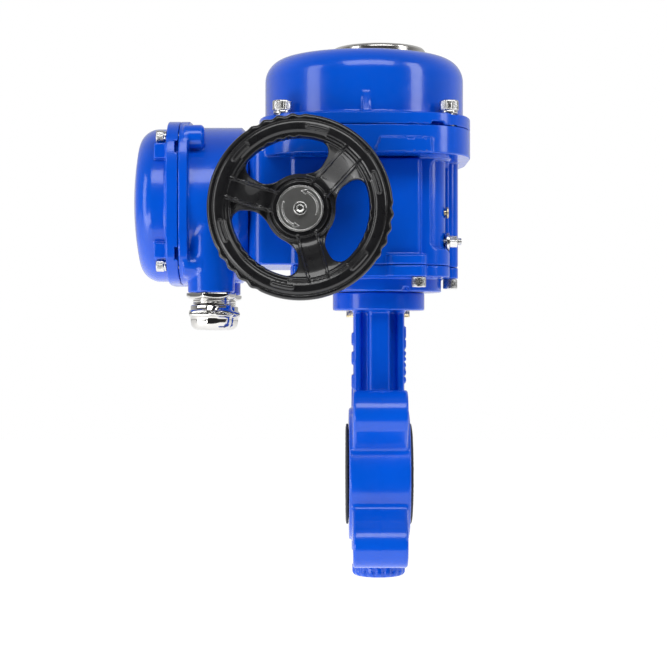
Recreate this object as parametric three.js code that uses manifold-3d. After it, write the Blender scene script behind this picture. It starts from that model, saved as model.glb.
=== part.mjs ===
// Motorised butterfly valve, DN50, with a lug body and a part-turn electric actuator.
// Millimetres, +Z up. The origin is where the pipe axis (X) meets the stem axis (Z).
import * as THREE from 'three';
import { mergeVertices } from 'three/addons/utils/BufferGeometryUtils.js';
import Module from 'manifold-3d';

const wasm = await Module();
wasm.setup();

// ---- driving dimensions ----
const GAP = 0.3;                    // clearance between neighbouring pieces

const RING_R = 46.5;                // valve body ring
const BORE_R = 31.3;                // bore of the body, around the seat liner
const FACE_X = 21.2;                // half width of the body ring
const LIP_X = 23.5;                 // half width over the seat lips (face to face)
const LIP_R = 35.5;
const LINER_R = 26;                 // bore of the seat liner
const LINER_BACK_R = 30.9;
const LUG_X = 18.75;                // half width of the lugs
const LUG_R = 16.5;
const LUG_OFFSET = 44.2;            // lug hole centres, 125 mm bolt circle
const LUG_HOLE_R = 7;               // M16 thread
const NECK_TOP = 115.6;
const TOP_FLANGE_R = 32.5;
const TOP_FLANGE_Z = 128.1;
const F05 = 17.7;                   // bolt square of the top flange
const COLUMN_R = 18;                // lower stem column
const COLUMN_Z = -63.7;
const CAP_Z = -71.8;

const STEM_R = 7;
const STEM_SQUARE = 11;
const STEM_BORE_R = 9.5;
const STEM_TOP = 150;
const BUSH_R = 9.2;
const DISC_R = 25.7;

const BASE_Z = 128.4;               // underside of the actuator
const PLATE_Z = 138.2;
const HOUSING_Z = 146.2;
const FLANGE_Z = 220.2;
const PART_Z = 239.4;               // joint between housing and cover
const COVER_FLANGE_Z = 247.6;
const DOME_Z = 292.7;
const DOME_R = 70;
const BODY_X = -10.3;               // centre of the housing flange and dome
const FLANGE_HALF = 73.7;
const FLANGE_POWER = 3.5;
const COVER_SCREW = 56.4;

const SLEEVE_R = 17;
const SHAFT_R = 8;                  // worm shaft and indicator shaft
const SHAFT_TOP = 290.7;
const INDICATOR_R = 33;
const INDICATOR_Z = 300.5;

const MODULE = 2;                   // worm and worm wheel
const WHEEL_TEETH = 40;
const WHEEL_R = 40;
const WHEEL_Z = 182;
const WHEEL_HALF = 5;
const WORM_R = 14;
const WORM_TURNS = 4;
const WORM_X = -WHEEL_R - WORM_R;
const SPUR_MODULE = 1.5;
const SPUR_TEETH = 36;
const PINION_TEETH = 12;
const MOTOR_Z = WHEEL_Z + SPUR_MODULE * (SPUR_TEETH + PINION_TEETH) / 2;

const WHEEL_RIM_R = 61;             // handwheel
const WHEEL_RIM_IN = 46;
const WHEEL_FRONT = 100;
const WHEEL_HUB_R = 22.5;
const WHEEL_HUB_FRONT = 82;

const BOX_Z = 190;                  // terminal box axis
const BOX_R = 55;
const BOX_HALF = 57;
const BOX_POWER = 4;
const BOX_SCREW = 44;
const BOX_RIGHT = -90.3;
const BOX_FLANGE_X = -131;
const BOX_PART_X = -137.6;
const BOX_COVER_X = -145.8;
const BOX_END_X = -172;
const GLAND_X = -116.1;
const GLAND_Y = 37;
const GLAND_Z = 127.4;

const STOP_Y = 30;
const STOP_Z = 163;
const RECESS_X = 45.7;              // floor of the corner recess at the stop bolts
const EARTH_Z = 183;

// ---- materials ----
function finish(color, roughness, metalness) {
  return new THREE.MeshStandardMaterial({ color, roughness, metalness });
}

const paint = finish(0x0b4fd6, 0.3, 0);
const rubber = finish(0x151517, 0.7, 0);
const stainless = finish(0xb9bbbd, 0.3, 1);
const chrome = finish(0xd8dadc, 0.12, 1);
const zinc = finish(0xc9b784, 0.35, 1);
const steel = finish(0x8c8f92, 0.4, 1);
const bronze = finish(0xb08a4a, 0.4, 1);
const blackGloss = finish(0x0d0e10, 0.25, 0);
const plastic = finish(0x2a2c2f, 0.6, 0);
const clear = finish(0xdfe8ea, 0.05, 0);
const dialPaint = finish(0xe8c21a, 0.5, 0);

// ---- geometry helpers: every one takes and returns closed three.js geometries ----
function toSolid(geometry) {
  const bare = geometry.clone();
  bare.deleteAttribute('normal');
  bare.deleteAttribute('uv');
  const merged = mergeVertices(bare, 1e-4);
  const index = merged.index.array;
  const triangles = [];
  for (let i = 0; i < index.length; i += 3) {
    const [a, b, c] = index.slice(i, i + 3);
    if (a !== b && b !== c && c !== a) triangles.push(a, b, c);
  }
  return new wasm.Manifold(new wasm.Mesh({
    numProp: 3,
    vertProperties: Float32Array.from(merged.attributes.position.array),
    triVerts: Uint32Array.from(triangles),
  }));
}

function toGeometry(solid) {
  const mesh = solid.getMesh();
  const geometry = new THREE.BufferGeometry();
  geometry.setAttribute('position', new THREE.BufferAttribute(mesh.vertProperties, 3));
  geometry.setIndex(new THREE.BufferAttribute(mesh.triVerts, 1));
  return geometry;
}

function join(...geometries) {
  return toGeometry(geometries.map(toSolid).reduce((whole, piece) => whole.add(piece)));
}

function cut(base, ...tools) {
  return toGeometry(tools.map(toSolid).reduce((whole, tool) => whole.subtract(tool), toSolid(base)));
}

function common(a, b) {
  return toGeometry(toSolid(a).intersect(toSolid(b)));
}

// A solid turned about Z. The profile runs from the bottom up as [radius, height] pairs.
function turned(profile, segments) {
  const points = profile.map(([r, h]) => new THREE.Vector2(r, h));
  return new THREE.LatheGeometry(points, segments).rotateX(Math.PI / 2);
}

function rod(r, z0, z1, segments = 20) {
  return turned([[0, z0], [r, z0], [r, z1], [0, z1]], segments);
}

function tube(inner, outer, z0, z1, segments = 20) {
  return turned([[inner, z0], [outer, z0], [outer, z1], [inner, z1], [inner, z0]], segments);
}

// Moves a solid's Z axis to the X axis or to the Y axis.
const alongX = (geometry) => geometry.rotateY(Math.PI / 2);
const alongY = (geometry) => geometry.rotateX(-Math.PI / 2);

function slab(shape, z0, z1, curveSegments = 3) {
  const options = { depth: z1 - z0, bevelEnabled: false, curveSegments };
  return new THREE.ExtrudeGeometry(shape, options).translate(0, 0, z0);
}

function box(x0, x1, y0, y1, z0, z1) {
  const geometry = new THREE.BoxGeometry(x1 - x0, y1 - y0, z1 - z0);
  return geometry.translate((x0 + x1) / 2, (y0 + y1) / 2, (z0 + z1) / 2);
}

function polygon(points) {
  return new THREE.Shape(points.map(([x, y]) => new THREE.Vector2(x, y)));
}

function roundedRect(x0, x1, y0, y1, r) {
  const shape = new THREE.Shape();
  shape.absarc(x1 - r, y1 - r, r, 0, Math.PI / 2);
  shape.absarc(x0 + r, y1 - r, r, Math.PI / 2, Math.PI);
  shape.absarc(x0 + r, y0 + r, r, Math.PI, 1.5 * Math.PI);
  shape.absarc(x1 - r, y0 + r, r, 1.5 * Math.PI, 2 * Math.PI);
  return shape;
}

// The rounded square |x|^n + |y|^n = half^n.
function superellipse(half, power, steps = 32) {
  const points = [];
  for (let i = 0; i < steps; i += 1) {
    const angle = 2 * Math.PI * (i + 0.5) / steps;
    const c = Math.cos(angle);
    const s = Math.sin(angle);
    const r = half / (Math.abs(c) ** power + Math.abs(s) ** power) ** (1 / power);
    points.push([r * c, r * s]);
  }
  return polygon(points);
}

// Calls make for the four corners of a square, in turn from +x +y.
function corners(half, make) {
  return [[1, 1], [-1, 1], [-1, -1], [1, -1]].map(([sx, sy]) => make(sx * half, sy * half));
}

// A hexagonal prism with the given width across its flats.
function hexagon(width, z0, z1) {
  return rod(width / Math.sqrt(3), z0, z1, 6);
}

// A quarter-round from radius r at height z up and in by the fillet.
function shoulder(r, z, fillet, steps = 3) {
  const points = [];
  for (let i = 0; i <= steps; i += 1) {
    const angle = Math.PI / 2 * i / steps;
    points.push([r - fillet + fillet * Math.cos(angle), z + fillet * Math.sin(angle)]);
  }
  return points;
}

const valve = new THREE.Group();

function add(name, geometry, material, parent = valve) {
  const mesh = new THREE.Mesh(geometry, material);
  mesh.name = name;
  parent.add(mesh);
  return mesh;
}

// ---- valve ----
function lug(signY, signZ) {
  const bar = new THREE.Shape();
  const reach = LUG_OFFSET * Math.SQRT2;
  bar.moveTo(0, -LUG_R);
  bar.absarc(reach, 0, LUG_R, -Math.PI / 2, Math.PI / 2);
  bar.lineTo(0, LUG_R);
  const solid = slab(bar, -LUG_X, LUG_X, 7);
  return alongX(solid.rotateZ(Math.atan2(signY, -signZ)));
}

function neckSection() {
  const quarter = [[0, 22], [7.1, 22], [7.1, 8], [12.4, 8], [12.4, 11.5], [17.4, 11.5]];
  const right = [...quarter, ...quarter.slice(1).reverse().map(([x, y]) => [x, -y]), [0, -22]];
  const left = right.slice(1, -1).reverse().map(([x, y]) => [-x, y]);
  return polygon([...right, ...left].reverse());
}

// Cast pads that stand 1.8 mm proud of the neck's sides.
function neckPads() {
  const long = [[106, 115], [92, 101], [75, 85]].map(([z0, z1]) => box(-19.2, -17, -9, 9, z0 - 12, z1 - 12));
  const short = [];
  for (let i = 0; i < 5; i += 1) {
    const z = 69.5 + 8 * i;
    short.push(box(17, 19.2, -8, 8, z, z + 5));
  }
  return [...long, ...short];
}

function valveBody() {
  const ring = alongX(rod(RING_R, -FACE_X, FACE_X, 36));
  const lugs = [lug(1, 1), lug(-1, 1), lug(-1, -1), lug(1, -1)];
  const neck = slab(neckSection(), 38, NECK_TOP + 1);
  const flange = rod(TOP_FLANGE_R, NECK_TOP, TOP_FLANGE_Z, 28);
  const column = rod(COLUMN_R, COLUMN_Z, -36, 20);
  const holes = corners(LUG_OFFSET, (y, z) => alongX(rod(LUG_HOLE_R, -25, 25, 12)).translate(0, y, z));
  const boltHoles = corners(F05, (x, y) => rod(3.4, 110, 130, 8).translate(x, y, 0));
  const bore = alongX(rod(BORE_R, -30, 30, 28));
  const stemBore = rod(STEM_BORE_R, -70, 130, 14);
  return cut(join(ring, ...lugs, neck, flange, column, ...neckPads()), bore, stemBore, ...holes, ...boltHoles);
}

function seatLiner() {
  const inside = FACE_X + GAP;
  const spool = turned([
    [LINER_R, -LIP_X], [LIP_R, -LIP_X], [LIP_R, -inside], [LINER_BACK_R, -inside],
    [LINER_BACK_R, inside], [LIP_R, inside], [LIP_R, LIP_X], [LINER_R, LIP_X], [LINER_R, -LIP_X],
  ], 28);
  return cut(alongX(spool), rod(STEM_R + GAP, -40, 40, 14));
}

function valveDisc() {
  const lens = alongX(turned([[0, -3.6], [19, -3], [DISC_R, -1.8], [DISC_R, 1.8], [19, 3], [0, 3.6]], 28));
  const hub = rod(9.5, -23.4, 23.4, 16);
  return cut(join(lens, hub), rod(STEM_R + GAP, -30, 30, 14));
}

function valveStem() {
  const round = rod(STEM_R, -55, STEM_TOP, 14);
  const half = STEM_SQUARE / 2;
  const top = box(-half, half, -half, half, 120, STEM_TOP + 1);
  return common(round, join(top, rod(STEM_R + 1, -56, 129, 14)));
}

// A screwed plug with finger flutes round its rim and a spigot that closes the stem bore.
function bottomCap() {
  const radius = 18.9;
  const plug = turned([
    [0, CAP_Z], [16.5, CAP_Z], [radius, CAP_Z + 2.4], [radius, -64], [BUSH_R, -64], [BUSH_R, -59], [0, -59],
  ], 18);
  const flutes = [];
  for (let i = 0; i < 18; i += 1) {
    const angle = 2 * Math.PI * i / 18;
    const flute = rod(1.6, CAP_Z - 1, -63, 3);
    flutes.push(flute.translate((radius + 0.6) * Math.cos(angle), (radius + 0.6) * Math.sin(angle), 0));
  }
  return cut(plug, ...flutes);
}

function buildValve() {
  add('valve_body', valveBody(), paint);
  add('seat_liner', seatLiner(), rubber);
  add('valve_disc', valveDisc(), stainless);
  add('valve_stem', valveStem(), stainless);
  add('stem_bush_upper', tube(STEM_R + GAP, BUSH_R, 62, 108, 14), bronze);
  add('stem_bush_lower', tube(STEM_R + GAP, BUSH_R, -58.5, -37, 14), bronze);
  add('stem_seal', tube(STEM_R + GAP, BUSH_R, 110, 113, 14), rubber);
  add('bottom_cap', bottomCap(), paint);
  [F05, -F05].forEach((x, i) => {
    const bolt = join(hexagon(10, -4.2, 0), rod(2.9, -1, 17, 10));
    add(`flange_bolt_${i + 1}`, bolt, zinc).position.set(x, F05, NECK_TOP - GAP);
  });
}

// ---- socket head cap screws ----
// The seat of the head is at z = 0, the head above it and the shank below. The washer is part of the head.
function capScrew(head, height, shank, length, washer) {
  const socket = rod(head * 0.27, height * 0.4, height + 1, 6);
  const profile = [
    [0, -length], [shank, -length], [shank, 0], [washer, 0], [washer, height * 0.16],
    [head, height * 0.16], [head, height], [0, height],
  ];
  return cut(turned(profile, 10), socket);
}

// ---- actuator: base flange ----
const BASE_SCREWS = [[25.8, -51], [50.8, 0], [25.8, 51], [-46, 51], [-46, -51]];

// Toes round the front and rear base screws, on the base plate and on the gear housing.
function toes(z0, z1) {
  const toe = (x0, x1, side) => slab(roundedRect(x0, x1, -9, 9, 6), z0, z1).translate(0, side * 48, 0);
  return [toe(4, 31.3, -1), toe(4, 31.3, 1), toe(-53, -39, -1), toe(-53, -39, 1)];
}

function baseFlange() {
  const boss = rod(44.3, BASE_Z, PLATE_Z + 1, 32);
  const face = slab(roundedRect(-60, 27.2, -52, 52, 3), PLATE_Z, HOUSING_Z - GAP);
  const top = HOUSING_Z - GAP;
  const plate = slab(roundedRect(-62, 48.6, -46, 46, 20), PLATE_Z, top);
  const post = rod(7.7, PLATE_Z, top, 12).translate(48.6, 0, 0);
  const bearing = rod(26.3, 135.7, 150, 20);
  const passage = rod(SLEEVE_R + 0.4, 120, 150, 20);
  const groove = alongY(rod(3, -50, -30, 8)).translate(17.7, 0, BASE_Z);
  const boltHoles = corners(F05, (x, y) => rod(3.6, 120, 133.4, 8).translate(x, y, 0));
  const screwHoles = BASE_SCREWS.map(([x, y]) => rod(3.5, 130, 150, 6).translate(x, y, 0));
  return cut(join(boss, face, plate, post, ...toes(PLATE_Z, top)), bearing, passage, groove, ...boltHoles, ...screwHoles);
}

// ---- actuator: gear housing ----
const CAVITY_FLOOR = 152;
const TOE_TOP = 153;
const DECK_Z = 197;                 // underside of the switch deck
const LEDGE = 1.5;                  // width of the ledge that the deck rests on

function housingShell() {
  const main = slab(roundedRect(-62, 48.6, -46, 46, 20), HOUSING_Z, FLANGE_Z + 1);
  const face = slab(roundedRect(-60, 27.2, -52, 52, 3), HOUSING_Z, 218.7);
  const side = slab(roundedRect(-90, -20, -50, 50, 12), HOUSING_Z, FLANGE_Z + 1);
  const post = rod(7.7, HOUSING_Z, FLANGE_Z + 1, 12).translate(48.6, 0, 0);
  const flange = slab(superellipse(FLANGE_HALF, FLANGE_POWER), FLANGE_Z, PART_Z - GAP).translate(BODY_X, 0, 0);
  const frontBoss = alongY(rod(19, -60, -50, 20)).translate(WORM_X, 0, WHEEL_Z);
  const rearBoss = alongY(rod(19, 50, 58, 20)).translate(WORM_X, 0, WHEEL_Z);
  return join(main, face, side, ...toes(HOUSING_Z, TOE_TOP), post, flange, frontBoss, rearBoss);
}

// The recess in a right-hand corner wall, 3 mm deep.
function cornerRecess(side) {
  const inset = slab(roundedRect(-62, 45.6, -43, 43, 17), 150, 225);
  const y = (near, far) => [Math.min(side * near, side * far), Math.max(side * near, side * far)];
  return cut(box(34.6, 60, ...y(18, 60), 157.8, 218.2), inset);
}

// The room inside the housing, with a margin round its sides.
function room(margin, z0, z1) {
  const left = roundedRect(-84 - margin, 20, -44 - margin, 44 + margin, 6);
  return join(slab(left, z0, z1), rod(44.3 + margin, z0, z1, 28));
}

function gearHousing() {
  const wormLine = (solid) => alongY(solid).translate(WORM_X, 0, WHEEL_Z);
  const cuts = [
    room(0, CAVITY_FLOOR, DECK_Z),
    room(LEDGE, DECK_Z - GAP, PART_Z + 1),
    rod(SLEEVE_R + 3, 140, 160, 16),
    wormLine(rod(13.4, -53, -43, 14)),
    wormLine(rod(9, -70, -40, 12)),
    wormLine(rod(12.4, -70, -54.5, 12)),
    wormLine(rod(13.4, 43, 53.5, 14)),
    alongX(rod(8, -100, -80, 8)).translate(0, 0, BOX_Z),
    ...[-STOP_Y, STOP_Y].map((y) => alongX(rod(2.9, 20, 60, 8)).translate(0, y, STOP_Z)),
    ...[-STOP_Y, STOP_Y].map((y) => alongX(rod(6.9, RECESS_X, 60, 12)).translate(0, y, STOP_Z)),
    alongX(rod(2.4, 40, 60, 6)).translate(0, -STOP_Y, EARTH_Z),
    ...BASE_SCREWS.map(([x, y]) => rod(3.5, 140, 151, 6).translate(x, y, 0)),
    ...corners(COVER_SCREW, (x, y) => rod(4.6, 224, 245, 6).translate(BODY_X + x, y, 0)),
    cornerRecess(-1),
    cornerRecess(1),
  ];
  return cut(housingShell(), ...cuts);
}

// ---- actuator: cover and indicator ----
function topCover() {
  const flange = slab(superellipse(FLANGE_HALF, FLANGE_POWER), PART_Z, COVER_FLANGE_Z);
  const dome = turned([
    [0, PART_Z + 2], [DOME_R, PART_Z + 2], ...shoulder(DOME_R, DOME_Z - 16, 16), [0, DOME_Z],
  ], 32);
  const inside = turned([
    [0, PART_Z - 2], [DOME_R - 5, PART_Z - 2], ...shoulder(DOME_R - 5, DOME_Z - 16, 11, 2), [0, DOME_Z - 5],
  ], 24);
  const rib = box(-2.5, 2.5, -DOME_R - 1.6, -DOME_R + 3, COVER_FLANGE_Z - 1, 262);
  const holes = corners(COVER_SCREW, (x, y) => rod(4.8, 230, 250, 6).translate(x, y, 0));
  const sight = rod(27, 280, 300, 20).translate(-BODY_X, 0, 0);
  const prySlot = box(44, 52, -82, -64, PART_Z - 1, PART_Z + 2.1);
  return cut(join(flange, dome, rib), inside, sight, prySlot, ...holes);
}

function buildCover() {
  const cover = add('top_cover', topCover(), paint);
  cover.position.x = BODY_X;
  corners(COVER_SCREW, (x, y) => [x, y]).forEach(([x, y], i) => {
    const screw = add(`cover_screw_${i + 1}`, capScrew(6.5, 9, 3.9, 21, 5.9), stainless);
    screw.position.set(BODY_X + x, y, COVER_FLANGE_Z + GAP);
  });
  const seat = DOME_Z + GAP;
  const ring = turned([
    [24, seat], [INDICATOR_R, seat], [INDICATOR_R, 298.4], [INDICATOR_R - 2, INDICATOR_Z],
    [29, INDICATOR_Z], [29, 295.4], [24, 295.4], [24, seat],
  ], 28);
  add('indicator_bezel', ring, chrome);
  add('indicator_window', rod(28.6, 295.7, 298.5, 24), clear);
}

// ---- gear train ----
// Straight-sided teeth: half widths in degrees at the root, and at the tip.
function toothedOutline(teeth, root, tip, rootHalf, tipHalf) {
  const points = [];
  for (let i = 0; i < teeth; i += 1) {
    const centre = 2 * Math.PI * i / teeth;
    for (const [r, offset] of [[root, -rootHalf], [tip, -tipHalf], [tip, tipHalf], [root, rootHalf]]) {
      const angle = centre + THREE.MathUtils.degToRad(offset);
      points.push([r * Math.cos(angle), r * Math.sin(angle)]);
    }
  }
  return polygon(points);
}

function wormWheel() {
  const tip = WHEEL_R + MODULE;
  const root = WHEEL_R - 1.25 * MODULE;
  const degrees = (width, r) => THREE.MathUtils.radToDeg(width / 2 / r);
  const outline = toothedOutline(WHEEL_TEETH, root, tip, degrees(4.4, root), degrees(1.24, tip));
  const wheel = slab(outline, -WHEEL_HALF, WHEEL_HALF);
  const position = wheel.attributes.position;
  for (let i = 0; i < position.count; i += 1) {
    const twist = -position.getZ(i) / (WORM_R * WHEEL_R);
    const point = new THREE.Vector3().fromBufferAttribute(position, i);
    point.applyAxisAngle(new THREE.Vector3(0, 0, 1), twist);
    position.setXYZ(i, point.x, point.y, point.z);
  }
  return cut(wheel, rod(SLEEVE_R + GAP, -8, 8, 20));
}

// The worm's thread: a trapezium swept along a left-hand helix about Z, run well into the core.
function wormThread() {
  const steps = 14 * WORM_TURNS;
  const lead = Math.PI * MODULE;
  const core = WORM_R - 1.25 * MODULE;
  const section = [[core - 2, -2.55], [WORM_R + MODULE, -0.62], [WORM_R + MODULE, 0.62], [core - 2, 2.55]];
  const vertices = [];
  const index = [];
  for (let i = 0; i <= steps; i += 1) {
    const turn = (i / steps - 0.5) * WORM_TURNS;
    const angle = 2 * Math.PI * turn;
    for (const [r, h] of section) vertices.push(r * Math.cos(angle), -r * Math.sin(angle), lead * turn + h);
    if (i < steps) {
      for (let k = 0; k < 4; k += 1) {
        const a = 4 * i + k;
        const b = 4 * i + (k + 1) % 4;
        index.push(a, b, a + 4, b, b + 4, a + 4);
      }
    }
  }
  const last = 4 * steps;
  index.push(0, 2, 1, 0, 3, 2, last, last + 1, last + 2, last, last + 2, last + 3);
  const geometry = new THREE.BufferGeometry();
  geometry.setAttribute('position', new THREE.Float32BufferAttribute(vertices, 3));
  geometry.setIndex(index);
  return geometry;
}

function wormShaft() {
  const core = WORM_R - 1.25 * MODULE;
  const bar = turned([
    [0, -62], [SHAFT_R, -62], [SHAFT_R, -16], [core, -16], [core, 16], [SHAFT_R, 16], [SHAFT_R, 52], [0, 52],
  ], 14);
  const square = box(-4.5, 4.5, -4.5, 4.5, -78, -60);
  return cut(join(bar, square, wormThread()), rod(2.8, -90, -66, 8));
}

// A sleeve that holds the stem's square, its stop arms, and the shaft up to the indicator.
function driveSleeve() {
  const body = turned([
    [0, 130], [SLEEVE_R, 130], [SLEEVE_R, 168], [21, 170], [21, WHEEL_Z - WHEEL_HALF - GAP],
    [SLEEVE_R, WHEEL_Z - WHEEL_HALF - GAP], [SLEEVE_R, 190], [SHAFT_R, 192], [SHAFT_R, SHAFT_TOP],
    [0, SHAFT_TOP],
  ], 20);
  const arms = join(box(-38, 0, -4, 4, 159, 167), box(-4, 4, 0, 38, 159, 167));
  const half = STEM_SQUARE / 2 + GAP;
  return cut(join(body, arms), box(-half, half, -half, half, 120, STEM_TOP + 2));
}

function limitCam() {
  const ring = tube(SHAFT_R + GAP, 13, 212, 228, 16);
  const lobe = (angle, z0, z1) => {
    const arm = box(10, 16.4, -5, 5, z0, z1);
    return arm.rotateZ(angle);
  };
  return join(ring, lobe(Math.PI / 4, 213, 219), lobe(-Math.PI / 4, 221, 227));
}

function gearOutline(teeth) {
  const pitch = SPUR_MODULE * teeth / 2;
  const tip = pitch + SPUR_MODULE * 0.9;
  const root = pitch - SPUR_MODULE * 1.2;
  const degrees = (width, r) => THREE.MathUtils.radToDeg(width / 2 / r);
  return toothedOutline(teeth, root, tip, degrees(2.75, root), degrees(0.85, tip));
}

function buildGearTrain() {
  const wheel = add('worm_wheel', wormWheel(), bronze);
  wheel.position.z = WHEEL_Z;
  wheel.rotation.z = Math.PI / WHEEL_TEETH;
  add('drive_sleeve', driveSleeve(), steel);
  add('output_bearing', tube(SLEEVE_R + GAP, 26, 136, 144, 20), steel);
  add('limit_cam', limitCam(), plastic);
  add('indicator_dial', dial(), dialPaint);

  const line = new THREE.Group();
  line.position.set(WORM_X, 0, WHEEL_Z);
  line.rotation.x = -Math.PI / 2;
  valve.add(line);
  add('worm_shaft', wormShaft(), steel, line);
  add('worm_bearing_front', tube(SHAFT_R + GAP, 12.8, -52.5, -44.5, 14), steel, line);
  add('worm_bearing_rear', tube(SHAFT_R + GAP, 12.8, 45, 53, 14), steel, line);
  add('worm_seal', tube(SHAFT_R + GAP, 11.6, -59.5, -55, 14), rubber, line);
  const spur = cut(slab(gearOutline(SPUR_TEETH), 35.6, 42), rod(SHAFT_R + GAP, 30, 50, 14));
  add('spur_gear', spur, steel, line);

  const drive = new THREE.Group();
  drive.position.set(WORM_X, 0, MOTOR_Z);
  drive.rotation.x = -Math.PI / 2;
  valve.add(drive);
  const halfTooth = Math.PI / PINION_TEETH;
  const pinion = join(slab(gearOutline(PINION_TEETH).clone(), 35.6, 42), rod(2.5, 28, 38, 10));
  add('motor_pinion', pinion, steel, drive).rotation.z = Math.PI / 2 + halfTooth;
  const can = turned([[0, -30], [18, -30], [19, -29], [19, 34], [0, 34]], 20);
  add('motor', cut(can, rod(2.9, 27, 36, 12)), stainless, drive);
}

// ---- indicator dial: a disc with a raised pointer bar ----
function dial() {
  const disc = rod(22, 291, 292.4, 20);
  const bar = box(-18, 18, -3, 3, 292, 294.6);
  return join(disc, bar);
}

// ---- switch deck ----
function switchDeck() {
  const plate = room(LEDGE - GAP, DECK_Z, DECK_Z + 1.7);
  const collar = rod(14, DECK_Z, 203, 16);
  const pins = [-7, 7].map((y) => rod(1.5, DECK_Z + 1, 228, 8).translate(26, y, 0));
  const rise = rod(4, DECK_Z + 1, 212.9, 10);
  const risers = [-7, 7].map((y) => rise.clone().translate(26, y, 0));
  const wormWindow = box(WORM_X - 17, WORM_X + 17, -20, 20, 190, 200);
  const gearWindow = box(WORM_X - 27, WORM_X + 27, 34.8, 50, 190, 200);
  return cut(join(plate, collar, ...pins, ...risers), rod(SHAFT_R + GAP, 180, 220, 14), wormWindow, gearWindow);
}

function limitSwitches() {
  const bodies = join(box(19, 32, -10, 10, 213.2, 227), box(17.6, 20, -2, 2, 214, 218), box(17.6, 20, -2, 2, 222, 226));
  const holes = [-7, 7].map((y) => rod(1.8, 205, 235, 8).translate(26, y, 0));
  return cut(bodies, ...holes);
}

// ---- handwheel, built facing +Z about its own axis ----
function handwheelSpoke(angle) {
  const profile = polygon([[14, 66], [20, 66], [50, 86], [50, 97], [44, 96], [20, 81], [14, 81]]);
  const web = slab(profile, -8, 8).rotateX(Math.PI / 2);
  return web.rotateZ(angle);
}

function handwheel() {
  const rim = turned([
    [WHEEL_RIM_IN, 88], [49, 84], [57, 84], [WHEEL_RIM_R, 88], [WHEEL_RIM_R, 96], [57, WHEEL_FRONT],
    [49, WHEEL_FRONT], [WHEEL_RIM_IN, 96], [WHEEL_RIM_IN, 88],
  ], 32);
  const hub = turned([
    [0, 64], [15, 64], [WHEEL_HUB_R, 70], [WHEEL_HUB_R, WHEEL_HUB_FRONT - 1], [WHEEL_HUB_R - 1, WHEEL_HUB_FRONT],
    [0, WHEEL_HUB_FRONT],
  ], 20);
  const spokes = [45, 165, 285].map((degrees) => handwheelSpoke(THREE.MathUtils.degToRad(degrees)));
  const half = 4.5 + GAP;
  return cut(join(rim, hub, ...spokes), box(-half, half, -half, half, 60, 90));
}

function buildHandwheel() {
  const group = new THREE.Group();
  group.position.set(WORM_X, 0, WHEEL_Z);
  group.rotation.x = Math.PI / 2;
  valve.add(group);
  add('handwheel', handwheel(), blackGloss, group);
  const face = WHEEL_HUB_FRONT + GAP;
  const plate = turned([
    [3, face], [15.5, face], [15.5, face + 2], [14, face + 2], [13.5, face + 1.2], [3, face + 1.2], [3, face],
  ], 20);
  add('handwheel_plate', plate, stainless, group);
  const screw = capScrew(4.5, 3, 2.5, 14, 4.5);
  add('handwheel_screw', screw, stainless, group).position.z = face + 1.2 + GAP;
}

// ---- terminal box, built about X at its own height ----
function boxShell() {
  const barrel = turned([
    [0, -BOX_RIGHT], [48.5, -BOX_RIGHT], [48.5, 90.6], [BOX_R, 96.6], [BOX_R, -BOX_PART_X - 1], [0, -BOX_PART_X - 1],
  ], 32);
  const flange = slab(superellipse(BOX_HALF, BOX_POWER), -BOX_FLANGE_X, -BOX_PART_X - GAP);
  const inside = rod(BOX_R - 5, 98, 150, 24);
  const bosses = corners(BOX_SCREW, (x, y) => rod(8, 122, -BOX_FLANGE_X + 1, 10).translate(x, y, 0));
  const wire = rod(8, 80, 110, 8);
  const shell = cut(join(barrel, flange, ...bosses), inside, wire);
  return alongX(shell.rotateY(Math.PI)).translate(0, 0, BOX_Z);
}

function terminalBox() {
  const gland = (y) => rod(16, GLAND_Z, 175, 20).translate(GLAND_X, y, 0);
  const hollow = alongX(rod(BOX_R - 5, BOX_PART_X, -98, 24)).translate(0, 0, BOX_Z);
  const entry = (y) => rod(10.1, 120, 165, 12).translate(GLAND_X, y, 0);
  const shell = join(boxShell(), gland(-GLAND_Y), gland(GLAND_Y));
  const screwHoles = corners(BOX_SCREW, (y, z) => alongX(rod(3.1, -150, -124, 6)).translate(0, y, BOX_Z + z));
  return cut(shell, hollow, entry(-GLAND_Y), entry(GLAND_Y), ...screwHoles);
}

function boxCover() {
  const depth = BOX_COVER_X - BOX_END_X;
  const flange = slab(superellipse(BOX_HALF, BOX_POWER), 0, BOX_PART_X - BOX_COVER_X);
  const lid = BOX_PART_X - BOX_COVER_X;
  const end = lid + depth;
  const dome = turned([
    [0, 1], [53.8, 1], [53.8, end - 14.2], [52, end - 9], [47, end - 5.7], [40, end - 3.6], [25, end - 0.9], [0, end],
  ], 32);
  const inside = turned([[0, -1], [50, -1], [50, end - 16], [40, end - 7.8], [25, end - 5], [0, end - 4]], 24);
  const holes = corners(BOX_SCREW, (x, y) => rod(3.1, -5, 30, 6).translate(x, y, 0));
  const shell = cut(join(flange, dome), inside, ...holes);
  return alongX(shell.rotateY(Math.PI)).translate(BOX_PART_X, 0, BOX_Z);
}

function buildGland(y, i) {
  const body = join(
    hexagon(30, 123.4, GLAND_Z - GAP),
    turned([[0, 108], [10, 108], [10, 119.4], [12.7, 119.4], [12.7, 124], [9.7, 124], [9.7, 140], [0, 140]], 16),
  );
  const nut = cut(
    join(
      turned([[0, 101.8], [9, 101.8], [12.6, 103.4], [14.2, 106], [14.5, 111], [14.5, 119], [0, 119]], 18),
      hexagon(30, 111, 115.4),
    ),
    rod(10.4, 107.5, 125, 16),
    rod(6.5, 100, 104, 12),
  );
  add(`gland_body_${i}`, body, chrome).position.set(GLAND_X, y, 0);
  add(`gland_nut_${i}`, nut, chrome).position.set(GLAND_X, y, 0);
}

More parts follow.
